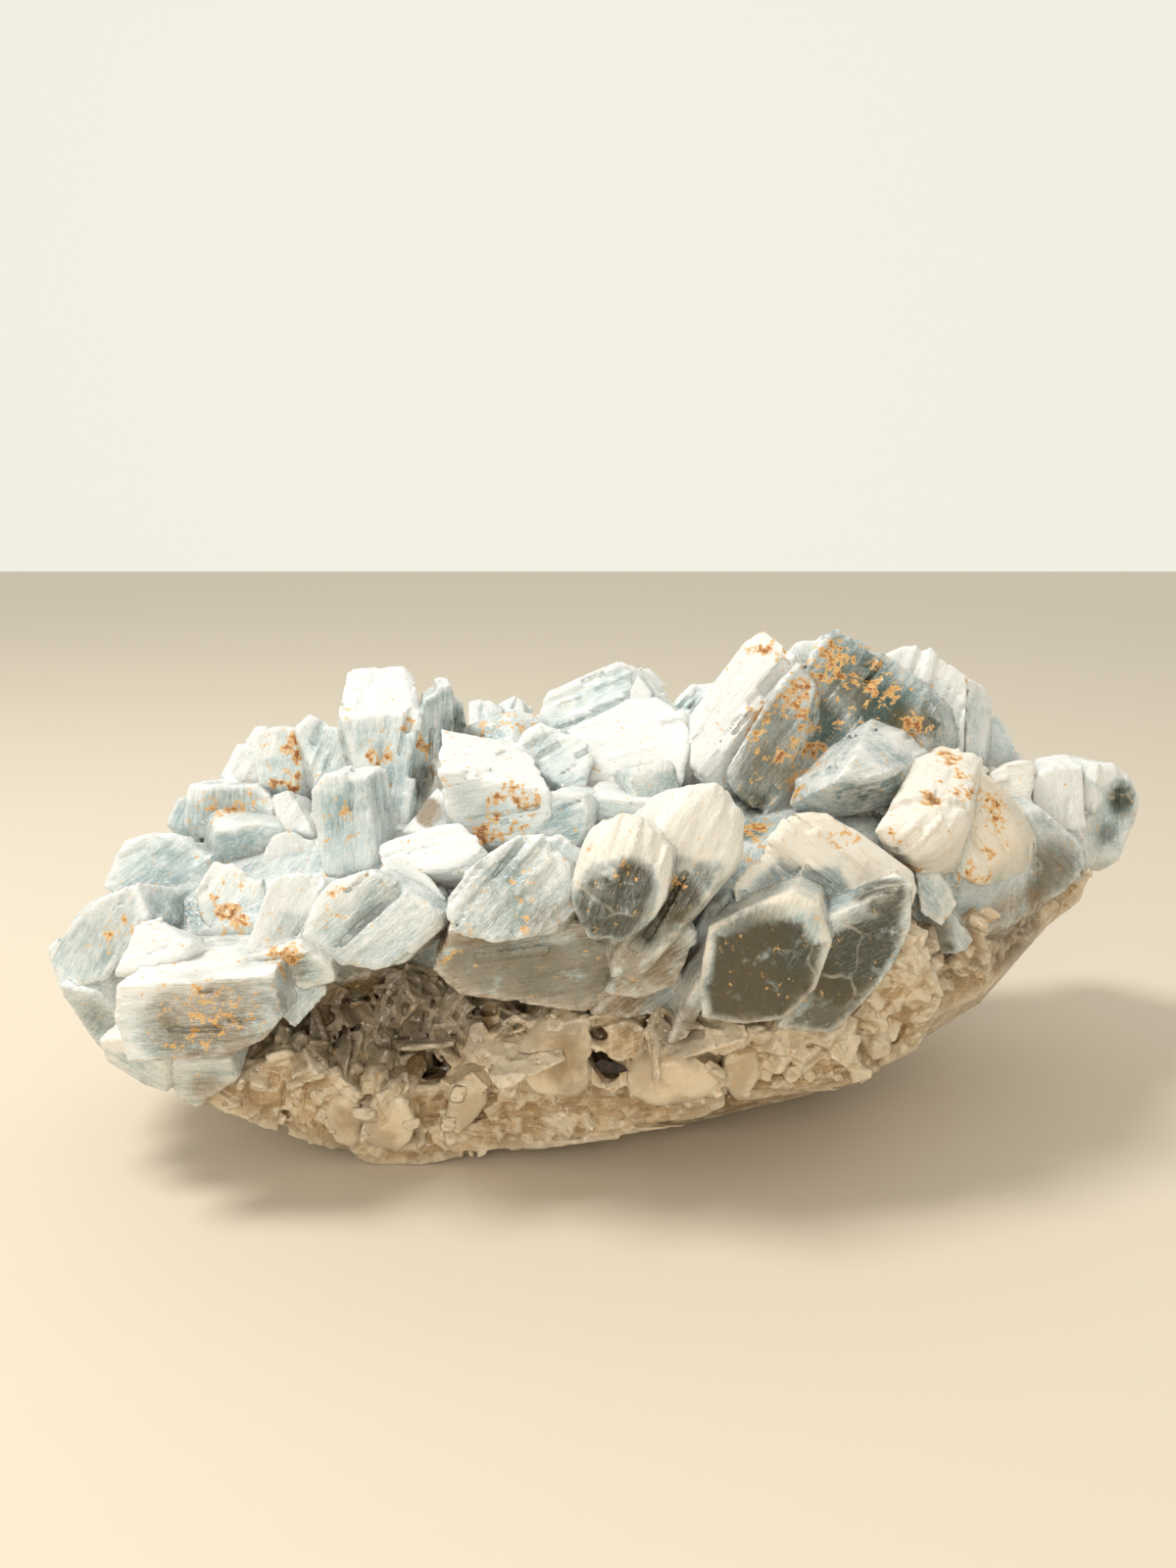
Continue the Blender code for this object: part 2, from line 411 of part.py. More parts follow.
def back_crystals(rng):
    """Blue crystals on the hidden side: rows of them round the back and the ends, and low ones over the top."""
    found = []
    for row in BACK_ROWS:
        for i in range(row.count):
            x = row.first + (row.last - row.first) * i / (row.count - 1) + rng.uniform(-5, 5)
            near, far, low, high = bed_at(CRYSTAL_BED, x)
            side = min(1.0, max(-1.0, (x - 5) / 118))
            out = Vector((side * 0.9 + rng.uniform(-0.35, 0.35), 1, row.steep + rng.uniform(-0.15, 0.15)))
            size = (rng.uniform(19, 31), rng.uniform(14, 23), rng.uniform(16, 24))
            foot = Vector((x, far - row.inwards - 10, low + (high - low) * row.height))
            found.append(("back", tucked_in(foot, out, size, rng.uniform(0, math.pi), rng, (0.8, 0, -0.8))))
    for i in range(8):
        x = -76 + 22 * i + rng.uniform(-4, 4)
        near, far, low, high = bed_at(CRYSTAL_BED, x)
        for share in (0.45, 0.75):
            y = near + (far - near) * (share + rng.uniform(-0.07, 0.07))
            out = Vector((rng.uniform(-0.5, 0.5), rng.uniform(-0.3, 0.6), 1))
            size = (rng.uniform(17, 26), rng.uniform(12, 19), rng.uniform(10, 15))
            foot = Vector((x, y, high - 5))
            found.append(("top", tucked_in(foot, out, size, rng.uniform(0, math.pi), rng, (0.3, 0, -0.8))))
    return [(name, points) for name, points in found if points]


def matrix_chips(rng):
    """Small pale crystals crowded on the lower flanks, all the way round."""
    found = []
    for i in range(CHIP_COUNT):
        x = -94 + 196 * ((i * 0.7548777) % 1.0)
        near, far, low, high = bed_at(MATRIX_BED, x)
        turn = 2 * math.pi * ((i * 0.5698403) % 1.0)
        out = Vector((0.5 * math.cos(turn), math.sin(turn), -0.1 - 0.5 * rng.random()))
        across = math.copysign(abs(math.sin(turn)) ** 0.6, math.sin(turn))
        y = (near + far) / 2 + across * (far - near) / 2 * 0.93
        z = low + (high - low) * (0.16 + 0.5 * rng.random())
        size = (rng.uniform(9, 17), rng.uniform(7, 13), rng.uniform(7, 12))
        foot = Vector((x, y, z))
        found.append(("chip", tucked_in(foot, out, size, rng.uniform(0, math.pi), rng, (0.5, 0, 0.8))))
    return [(name, points) for name, points in found if points]


def hull_mesh(name, points):
    """The convex body round some points, in metres."""
    mesh = bpy.data.meshes.new(name)
    shape = bmesh.new()
    for point in points:
        shape.verts.new(point * MM)
    made = bmesh.ops.convex_hull(shape, input=shape.verts)
    inside = [v for v in made["geom_interior"] + made["geom_unused"] if isinstance(v, bmesh.types.BMVert)]
    bmesh.ops.delete(shape, geom=list(set(inside)), context="VERTS")
    bmesh.ops.recalc_face_normals(shape, faces=shape.faces)
    shape.to_mesh(mesh)
    shape.free()
    return mesh


def grown_points(points, growth):
    """The corners of the convex body round some points once every face has moved outwards by growth."""
    middle = middle_of(points)
    shape = bmesh.new()
    for point in points:
        shape.verts.new(point - middle)
    bmesh.ops.convex_hull(shape, input=shape.verts)
    bmesh.ops.recalc_face_normals(shape, faces=shape.faces)
    poles = bmesh.new()
    for face in shape.faces:
        if face.calc_area() > 1e-6:
            reach = face.normal.dot(face.verts[0].co) + growth
            poles.verts.new(face.normal / reach)
    shape.free()
    bmesh.ops.remove_doubles(poles, verts=poles.verts, dist=1e-7)
    bmesh.ops.convex_hull(poles, input=poles.verts)
    bmesh.ops.recalc_face_normals(poles, faces=poles.faces)
    corners = []
    for face in poles.faces:
        reach = face.normal.dot(face.verts[0].co)
        if reach > 1e-9:
            corners.append(middle + face.normal / reach)
    poles.free()
    return corners


def bed_mesh(name, bed, growth=0.0):
    """A bed: a skin over its sections, closed at both ends, in metres."""
    mesh = bpy.data.meshes.new(name)
    shape = bmesh.new()
    rings = []
    for i, section in enumerate(bed):
        x, near, far, low, high = section
        push = growth if i == len(bed) - 1 else -growth if i == 0 else 0
        wider = (x, near - growth, far + growth, low - growth, high + growth)
        ring = bed_ring([wider, (x + 1,) + wider[1:]], x)
        rings.append([shape.verts.new((p + Vector((push, 0, 0))) * MM) for p in ring])
    for first, second in zip(rings, rings[1:]):
        for i in range(SECTION_CORNERS):
            j = (i + 1) % SECTION_CORNERS
            shape.faces.new((first[i], first[j], second[j], second[i]))
    shape.faces.new(rings[0])
    shape.faces.new(rings[-1])
    bmesh.ops.recalc_face_normals(shape, faces=shape.faces)
    shape.to_mesh(mesh)
    shape.free()
    return mesh


def add_object(name, mesh, collection, helper=True):
    made = bpy.data.objects.new(name, mesh)
    collection.objects.link(made)
    if helper:
        made.hide_render = True
        made.display_type = "WIRE"
    return made


def new_collection(name):
    made = bpy.data.collections.new(name)
    bpy.context.scene.collection.children.link(made)
    return made


def boolean(target, operation, others):
    """A Boolean with every object in a collection."""
    step = target.modifiers.new(operation.lower(), "BOOLEAN")
    step.operation = operation
    step.operand_type = "COLLECTION"
    step.collection = others
    step.solver = "EXACT"


def settle(target, scrap):
    """Makes the modifiers' result the object's own mesh, keeps its one main body, and clears the helpers away."""
    bpy.context.view_layer.update()
    graph = bpy.context.evaluated_depsgraph_get()
    mesh = bpy.data.meshes.new_from_object(target.evaluated_get(graph))
    target.modifiers.clear()
    target.data = mesh
    for collection in scrap:
        for helper in list(collection.objects):
            bpy.data.objects.remove(helper)
        bpy.data.collections.remove(collection)
    keep_main_body(mesh)


def keep_main_body(mesh):
    """Drops sealed pockets and loose crumbs that the union leaves, and closes gaps between coincident points."""
    shape = bmesh.new()
    shape.from_mesh(mesh)
    bmesh.ops.remove_doubles(shape, verts=shape.verts, dist=1e-6)
    shape.verts.ensure_lookup_table()
    left = set(shape.verts)
    bodies = []
    while left:
        body = {left.pop()}
        edge = list(body)
        while edge:
            vert = edge.pop()
            for link in vert.link_edges:
                other = link.other_vert(vert)
                if other in left:
                    left.remove(other)
                    body.add(other)
                    edge.append(other)
        bodies.append(body)
    bodies.sort(key=len)
    for body in bodies[:-1]:
        bmesh.ops.delete(shape, geom=list(body), context="VERTS")
    bmesh.ops.dissolve_limit(shape, angle_limit=FLAT_ANGLE, verts=shape.verts, edges=shape.edges)
    bmesh.ops.triangulate(shape, faces=shape.faces)
    shape.to_mesh(mesh)
    shape.free()


def material(name, colour, roughness):
    made = bpy.data.materials.new(name)
    made.use_nodes = True
    surface = made.node_tree.nodes["Principled BSDF"]
    surface.inputs["Base Color"].default_value = (*colour, 1)
    surface.inputs["Roughness"].default_value = roughness
    surface.inputs["Metallic"].default_value = 0.0
    return made


def matrix_shapes():
    """Every convex piece of the matrix, by its corners."""
    hand_placed = [(c.name, crystal_points(c)) for c in MATRIX_FRONT]
    return hand_placed + matrix_chips(random.Random(11))


def blue_shapes():
    """Every convex piece of the blue crust, by its corners."""
    hand_placed = [(c.name, crystal_points(c)) for c in LEFT_END + CENTRE + RIGHT_END]
    return hand_placed + back_crystals(random.Random(5))


def table_box(collection):
    """A block under the specimen that cuts everything off flat where it rests."""
    shape = bmesh.new()
    bmesh.ops.create_cube(shape, size=1)
    mesh = bpy.data.meshes.new("below")
    depth = 60
    bmesh.ops.scale(shape, vec=Vector((400, 300, depth)) * MM, verts=shape.verts)
    bmesh.ops.translate(shape, vec=Vector((0, 0, -depth / 2)) * MM, verts=shape.verts)
    shape.to_mesh(mesh)
    shape.free()
    return add_object("below", mesh, collection)


def dark_grain_points(growth):
    """Corners of the small dark grain that is caught in the matrix."""
    shape = bmesh.new()
    bmesh.ops.create_icosphere(shape, subdivisions=1, radius=1)
    half = [s / 2 + growth for s in DARK_GRAIN_SIZE]
    turning = Matrix.Rotation(math.radians(12), 3, "Y")
    middle = seen_point(DARK_GRAIN_SEEN, DARK_GRAIN_DEPTH)
    points = [middle + turning @ Vector((v.co.x * half[0], v.co.y * half[1], v.co.z * half[2])) for v in shape.verts]
    shape.free()
    return points


def build_matrix(parts):
    """The pale crystalline matrix, with a pocket for the dark grain and the flat spot that it rests on."""
    joined, cutters = new_collection("matrix pieces"), new_collection("matrix cutters")
    for name, points in matrix_shapes():
        add_object(name, hull_mesh(name, points), joined)
    table_box(cutters)
    add_object("pocket", hull_mesh("pocket", dark_grain_points(SEAM)), cutters)
    matrix = add_object("pale_matrix", bed_mesh("pale_matrix", MATRIX_BED), parts, helper=False)
    boolean(matrix, "UNION", joined)
    boolean(matrix, "DIFFERENCE", cutters)
    settle(matrix, [joined, cutters])
    matrix.data.materials.append(material("pale matrix", (0.62, 0.55, 0.45), 0.35))
    return matrix


def build_blue(parts):
    """The crust of blue crystals, grown together in one solid, which clears the matrix by a hair."""
    joined, cutters = new_collection("blue pieces"), new_collection("blue cutters")
    for name, points in blue_shapes():
        add_object(name, hull_mesh(name, points), joined)
    for name, points in matrix_shapes():
        add_object(name + " seam", hull_mesh(name, grown_points(points, SEAM)), cutters)
    add_object("bed seam", bed_mesh("bed seam", MATRIX_BED, BED_SEAM), cutters)
    table_box(cutters)
    blue = add_object("blue_crystals", bed_mesh("blue_crystals", CRYSTAL_BED), parts, helper=False)
    boolean(blue, "UNION", joined)
    boolean(blue, "DIFFERENCE", cutters)
    settle(blue, [joined, cutters])
    blue.data.materials.append(material("blue barite", (0.50, 0.66, 0.70), 0.30))
    return blue


def build_grain(parts):
    """The small dark grain in its pocket."""
    grain = add_object("dark_grain", hull_mesh("dark_grain", dark_grain_points(0)), parts, helper=False)
    grain.data.materials.append(material("dark grain", (0.03, 0.02, 0.02), 0.5))
    return grain


def main():
    for old in list(bpy.data.objects):
        bpy.data.objects.remove(old)
    parts = new_collection("blue barite specimen")
    build_matrix(parts)
    build_blue(parts)
    build_grain(parts)


main()
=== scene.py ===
"""The looks of the blue barite specimen: the crystals of the solid model, blended on a fine grid with
their growth layers, broken surfaces and small fragments, and the materials, light and camera.

Lengths in the tables are millimetres and angles are degrees; the frame and the finished meshes are metres.
"""

import math
import random
from collections import namedtuple

import bmesh
import bpy
import numpy as np
import openvdb
from mathutils import Matrix, Vector


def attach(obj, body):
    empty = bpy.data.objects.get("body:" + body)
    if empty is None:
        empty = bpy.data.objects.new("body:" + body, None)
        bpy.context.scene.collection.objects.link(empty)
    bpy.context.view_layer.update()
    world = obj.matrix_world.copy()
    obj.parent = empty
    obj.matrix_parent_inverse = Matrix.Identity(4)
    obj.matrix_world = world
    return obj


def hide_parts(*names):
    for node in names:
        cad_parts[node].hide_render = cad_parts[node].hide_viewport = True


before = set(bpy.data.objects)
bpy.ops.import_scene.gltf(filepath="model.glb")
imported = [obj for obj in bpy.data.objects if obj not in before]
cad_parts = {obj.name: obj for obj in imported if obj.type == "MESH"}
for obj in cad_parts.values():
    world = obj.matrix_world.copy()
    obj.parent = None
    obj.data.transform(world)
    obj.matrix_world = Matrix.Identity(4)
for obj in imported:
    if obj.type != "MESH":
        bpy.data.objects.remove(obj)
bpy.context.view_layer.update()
MM = 0.001

# Where the photograph was taken from, which turns a place in it and a depth into a place on the specimen
VIEW_FROM = Vector((-1.1, -316.6, 146.6))
VIEW_PITCH = math.radians(12.6)
FOCAL_PIXELS = 1500.0
PICTURE_MIDDLE = (600.0, 800.0)
PICTURE_HEIGHT = 1600
SENSOR = 36.0
MM_PER_PIXEL = 0.223
FORWARD = Vector((0, math.cos(VIEW_PITCH), -math.sin(VIEW_PITCH)))
UPWARD = Vector((0, math.sin(VIEW_PITCH), math.cos(VIEW_PITCH)))
RIGHTWARD = Vector((1, 0, 0))

Crystal = namedtuple("Crystal", "name face depth tilt run taper bevel peaks", defaults=(0.82, 1.6, ()))

# Blue crystals that show from the front: corners in photograph pixels, depth and run in millimetres, tilt
# in degrees (how fast the face falls back to the right, and upwards).
LEFT_END = [
    Crystal("left_tip", [(46, 968), (100, 917), (140, 899), (150, 935), (128, 975), (108, 998), (62, 1012)],
        -34, (-25, 20), (14, 24, -8)),
    Crystal("left_tip_low", [(62, 1012), (86, 990), (112, 998), (128, 1056), (100, 1062), (78, 1030)], -30,
        (-20, -25), (18, 22, 8)),
    Crystal("left_tip_small", [(114, 996), (132, 962), (143, 938), (160, 937), (197, 963), (188, 978),
        (150, 990)], -42, (0, 30), (8, 14, -9)),
    Crystal("left_block", [(118, 1003), (200, 998), (278, 996), (288, 1038), (268, 1062), (235, 1078),
        (130, 1084), (116, 1040)], -52, (0, 4), (6, 24, 3), 0.85, 2.0),
    Crystal("left_block_end", [(283, 1005), (300, 990), (330, 1000), (335, 1012), (300, 1050), (288, 1040)],
        -44, (20, 5), (-4, 20, 3)),
    Crystal("left_foot", [(100, 1060), (128, 1058), (172, 1085), (172, 1115), (150, 1108), (108, 1082)],
        -40, (-10, -20), (14, 22, 12)),
    Crystal("left_foot_inner", [(172, 1083), (236, 1080), (245, 1100), (200, 1131), (178, 1118)], -38,
        (0, -25), (4, 22, 14)),
    Crystal("left_shoulder", [(103, 906), (126, 857), (160, 848), (182, 850), (217, 874), (206, 952),
        (185, 945), (150, 925)], -16, (0, 20), (12, 20, -9)),
    Crystal("stained_block", [(200, 908), (218, 877), (238, 881), (271, 905), (272, 926), (246, 962),
        (215, 951), (203, 935)], -27, (5, 22), (-3, 18, -8)),
    Crystal("buff_piece", [(216, 872), (242, 861), (264, 857), (273, 880), (262, 890), (232, 880)], -10,
        (0, 30), (2, 15, -4)),
    Crystal("white_post", [(270, 905), (268, 872), (278, 850), (294, 846), (320, 856), (326, 885),
        (318, 893)], -14, (15, 10), (-3, 13, -7)),
    Crystal("white_wedge", [(247, 971), (262, 941), (276, 898), (292, 890), (322, 892), (333, 903),
        (318, 938), (302, 966), (262, 979)], -40, (18, 14), (12, 16, -5)),
    Crystal("wedge_foot", [(250, 975), (305, 964), (340, 985), (345, 1003), (300, 1010), (262, 992)], -44,
        (0, -8), (0, 22, 2)),
    Crystal("ledge_crystal", [(307, 956), (323, 915), (338, 899), (378, 886), (415, 905), (451, 932),
        (452, 946), (410, 984), (382, 990), (345, 984), (320, 968)], -51, (8, 16), (6, 22, -5)),
    Crystal("ledge_upper", [(384, 889), (393, 875), (402, 873), (440, 896), (456, 918), (446, 928),
        (410, 908)], -38, (10, 25), (-4, 16, -6)),
    Crystal("tall_prism", [(318, 826), (318, 806), (329, 790), (352, 788), (372, 792), (381, 840),
        (384, 866), (378, 888), (345, 894), (330, 890)], -24, (8, 6), (3, 14, 0), 0.9, 1.0),
    Crystal("chip_by_prism", [(276, 812), (293, 806), (313, 832), (320, 852), (292, 846), (281, 832)], -8,
        (10, 20), (2, 14, -4)),
    Crystal("upper_slab", [(186, 840), (193, 800), (262, 800), (277, 812), (281, 832), (275, 849),
        (240, 862), (219, 870), (200, 850)], -2, (0, 8), (-4, 24, -3)),
    Crystal("slab_end", [(168, 843), (180, 815), (195, 808), (200, 830), (190, 848)], 2, (-20, 15),
        (6, 18, -6)),
    Crystal("ridge_left", [(220, 798), (240, 766), (258, 742), (272, 740), (268, 765), (264, 800)], 14,
        (-25, 18), (10, 18, -8)),
    Crystal("ridge_front", [(258, 775), (262, 748), (278, 740), (318, 748), (321, 762), (300, 802),
        (284, 806), (264, 800)], 8, (0, 12), (4, 20, -3)),
    Crystal("ridge_right", [(300, 742), (316, 729), (346, 742), (374, 760), (379, 792), (350, 800),
        (322, 800), (318, 776)], 6, (10, 16), (-5, 22, -6)),
    Crystal("peak_block", [(345, 729), (420, 724), (431, 732), (428, 765), (417, 840), (400, 851),
        (383, 851), (378, 792), (373, 758), (351, 746)], 0, (0, 10), (-4, 29, 8)),
    Crystal("peak_slab_near", [(431, 714), (447, 706), (447, 765), (440, 800), (419, 846), (424, 780)], 4,
        (35, 5), (-3, 26, 0)),
    Crystal("peak_slab_middle", [(445, 700), (461, 698), (464, 768), (446, 778)], 8, (30, 5), (-3, 22, 0)),
    Crystal("peak_slab_far", [(460, 714), (473, 714), (476, 746), (474, 767), (461, 773)], 12, (30, 5),
        (-3, 18, -2)),
    Crystal("left_keel", [(60, 1004), (104, 1012), (146, 1060), (174, 1112), (124, 1088), (98, 1064),
        (76, 1032)], -32, (-8, -22), (18, 24, 10)),
]

CENTRE = [
    Crystal("far_left_a", [(477, 741), (478, 714), (498, 712), (512, 722), (500, 741)], 52, (0, 20),
        (2, 12, -4)),
    Crystal("far_left_b", [(498, 738), (508, 718), (525, 709), (534, 714), (528, 735)], 56, (0, 20),
        (2, 12, -4)),
    Crystal("far_left_c", [(522, 740), (530, 727), (546, 728), (557, 740), (545, 748)], 50, (0, 20),
        (2, 12, -4)),
    Crystal("far_flat", [(474, 766), (476, 744), (560, 742), (545, 770)], 44, (0, 5), (0, 16, 1)),
    Crystal("centre_block", [(447, 785), (480, 797), (520, 801), (562, 806), (564, 830), (545, 852),
        (500, 864), (470, 846), (455, 830)], -24, (4, -4), (-4, 26, 5)),
    Crystal("white_slab", [(386, 880), (386, 862), (402, 855), (450, 841), (470, 840), (497, 868),
        (470, 887), (430, 893)], -32, (-5, 35), (6, 16, -10)),
    Crystal("striated_wedge", [(408, 850), (447, 801), (462, 818), (467, 840), (430, 853)], -16, (-10, 30),
        (6, 14, -8)),
    Crystal("front_centre", [(453, 922), (470, 887), (500, 871), (531, 851), (548, 850), (582, 882),
        (588, 925), (563, 955), (500, 962), (468, 955), (455, 940)], -54, (4, 20), (8, 22, -6)),
    Crystal("front_centre_top", [(548, 850), (572, 850), (592, 866), (596, 900), (585, 915), (575, 885)],
        -48, (15, 25), (6, 18, -8)),
    Crystal("centre_shelf", [(440, 988), (458, 950), (500, 960), (560, 952), (610, 940), (650, 955),
        (645, 1000), (600, 1032), (548, 1026), (500, 1014), (466, 1014)], -46, (3, -22), (-2, 26, 8)),
    Crystal("middle_blue", [(519, 772), (535, 746), (551, 736), (601, 757), (606, 776), (598, 802),
        (575, 806), (556, 790)], -2, (5, 35), (-5, 18, -10)),
    Crystal("middle_low", [(548, 850), (548, 815), (562, 807), (592, 813), (601, 826), (598, 845),
        (588, 862)], -22, (0, 5), (5, 20, -2)),
    Crystal("white_table", [(576, 746), (641, 713), (671, 711), (692, 724), (704, 742), (705, 762),
        (694, 803), (672, 815), (640, 822), (606, 820), (597, 800), (600, 770)], 4, (0, 42), (0, 12, -16),
        0.85, 1.5),
    Crystal("table_foot", [(604, 812), (640, 822), (670, 818), (668, 832), (640, 838), (606, 836)], -12,
        (0, 0), (0, 16, 2)),
    Crystal("back_hump", [(549, 727), (560, 707), (600, 687), (632, 674), (642, 684), (644, 708),
        (612, 722), (578, 742), (560, 745)], 42, (-5, 22), (8, 20, -7)),
    Crystal("back_hump_right", [(632, 675), (647, 681), (662, 685), (692, 716), (692, 728), (668, 714),
        (643, 708)], 46, (25, 15), (-4, 18, -9)),
    Crystal("back_white_small", [(642, 706), (650, 688), (664, 706), (650, 714)], 38, (0, 15), (2, 12, -2)),
    Crystal("far_right", [(686, 718), (706, 698), (737, 696), (714, 724), (697, 727)], 60, (0, 20),
        (0, 12, -4)),
    Crystal("twin_left", [(581, 902), (590, 866), (602, 843), (638, 827), (664, 838), (690, 872),
        (682, 920), (640, 965), (602, 960), (585, 932)], -57, (0, 14), (6, 26, -6), 0.82, 4.0),
    Crystal("twin_right", [(642, 870), (666, 836), (697, 803), (738, 797), (763, 832), (760, 876),
        (726, 920), (690, 960), (652, 1000), (622, 1002), (640, 940)], -51, (12, 6), (-4, 30, -5), 0.82,
        4.0),
    Crystal("sheets_upper", [(612, 1014), (640, 985), (700, 945), (713, 950), (690, 1005), (652, 1020)],
        -47, (10, -15), (0, 14, 2)),
    Crystal("sheets_lower", [(640, 1040), (600, 1036), (640, 1000), (690, 985), (700, 1000), (680, 1030)],
        -42, (10, -15), (0, 16, 4)),
]

RIGHT_END = [
    Crystal("plate_upper", [(746, 906), (763, 882), (800, 830), (842, 828), (880, 851), (932, 890),
        (936, 908), (916, 960), (900, 986), (860, 1010), (800, 1000), (760, 960)], -40, (8, 14),
        (8, 24, -8), 0.85, 3.0),
    Crystal("plate_front", [(722, 946), (760, 926), (808, 909), (836, 922), (850, 960), (832, 1010),
        (800, 1040), (760, 1046), (716, 1040), (712, 1005), (736, 980), (728, 962)], -52, (4, 4),
        (6, 18, 2), 0.85, 2.0),
    Crystal("plate_side", [(838, 938), (932, 900), (930, 945), (910, 988), (882, 1022), (850, 1055),
        (792, 1050), (815, 1000)], -46, (12, -2), (-4, 22, 4)),
    Crystal("thin_plate", [(690, 1040), (712, 1000), (735, 975), (738, 990), (715, 1030), (700, 1060),
        (680, 1068)], -50, (0, 0), (-2, 16, 0), 0.9, 0.8),
    Crystal("crevice_block", [(705, 955), (722, 925), (745, 910), (752, 925), (728, 962), (715, 985),
        (700, 990)], -36, (0, 10), (0, 18, 0)),
    Crystal("white_lobe", [(889, 851), (901, 831), (926, 819), (956, 818), (988, 827), (990, 842),
        (962, 870), (932, 881), (912, 869)], -32, (4, 12), (10, 22, 8), 0.82, 4.0),
    Crystal("cream_upper", [(939, 770), (956, 758), (977, 763), (1000, 783), (990, 815), (957, 817),
        (946, 792)], -2, (5, 25), (4, 18, -8), 0.82, 3.0),
    Crystal("cream_lower", [(957, 816), (1000, 784), (1023, 803), (1049, 850), (1045, 866), (1016, 882),
        (1001, 905), (976, 896), (986, 850)], -12, (12, 18), (12, 22, -8), 0.82, 4.0),
    Crystal("wedge", [(804, 822), (812, 797), (846, 762), (888, 733), (926, 746), (952, 776), (946, 800),
        (905, 824), (878, 838), (850, 834)], -8, (5, 24), (12, 24, -6), 0.85, 2.0, [(872, 772, -24),
        (900, 788, -25), (848, 800, -25)]),
    Crystal("prism_white", [(704, 786), (703, 730), (736, 692), (752, 670), (760, 655), (778, 642),
        (812, 668), (796, 692), (770, 722), (742, 766), (718, 792)], 0, (-18, 20), (14, 24, -10)),
    Crystal("prism_stained", [(738, 792), (762, 750), (796, 692), (815, 678), (832, 700), (822, 745),
        (800, 798), (778, 835), (752, 812)], -6, (10, 12), (12, 22, -4)),
    Crystal("prism_dark", [(798, 802), (822, 745), (830, 700), (824, 674), (838, 651), (853, 643),
        (896, 661), (916, 674), (953, 706), (960, 738), (944, 766), (900, 775), (850, 790)], 2, (6, 22),
        (16, 26, -10)),
    Crystal("prism_cap", [(798, 672), (812, 655), (836, 651), (828, 676)], 14, (0, 20), (4, 16, -4)),
    Crystal("back_white", [(903, 668), (926, 656), (947, 661), (976, 681), (988, 690), (985, 735),
        (983, 780), (966, 758), (960, 735), (950, 706), (916, 682)], 22, (0, 14), (-4, 20, -8)),
    Crystal("back_white_side", [(986, 690), (1002, 697), (1012, 716), (1001, 732), (1004, 768), (986, 784),
        (984, 735)], 24, (30, 8), (4, 16, -2)),
    Crystal("small_right", [(1003, 736), (1016, 728), (1032, 750), (1036, 768), (1030, 783), (1004, 782)],
        30, (15, 15), (4, 14, -2)),
    Crystal("white_knob", [(1004, 792), (1020, 781), (1048, 775), (1059, 780), (1052, 800), (1056, 816),
        (1040, 826), (1020, 812)], 16, (5, 20), (4, 16, -2), 0.82, 3.0),
    Crystal("white_block", [(1053, 798), (1062, 786), (1080, 781), (1104, 781), (1106, 812), (1108, 846),
        (1086, 850), (1070, 836), (1056, 822)], 22, (5, 10), (4, 20, 0)),
    Crystal("right_tip", [(1107, 850), (1109, 792), (1113, 778), (1136, 777), (1152, 792), (1164, 812),
        (1160, 832), (1148, 862), (1141, 880), (1118, 882)], 30, (15, 5), (-4, 20, 0), 0.82, 3.0),
    Crystal("right_face", [(1008, 888), (1044, 858), (1046, 826), (1064, 825), (1100, 858), (1110, 880),
        (1092, 908), (1060, 926), (1020, 928), (985, 930)], 4, (18, 8), (-4, 24, 4)),
    Crystal("dark_wedge", [(974, 928), (1000, 906), (1020, 890), (1032, 900), (1022, 935), (992, 946)], -4,
        (10, -10), (4, 20, 2)),
    Crystal("small_white", [(1000, 936), (1010, 923), (1031, 946), (1020, 956), (1002, 951)], -6, (10, 0),
        (2, 16, 2)),
    Crystal("right_grey", [(921, 951), (946, 931), (976, 932), (994, 960), (986, 972), (958, 976),
        (930, 968)], -20, (10, 5), (4, 22, 2)),
    Crystal("right_sliver", [(934, 886), (945, 876), (970, 906), (976, 926), (960, 946), (940, 932)], -24,
        (15, 10), (4, 18, 2)),
]

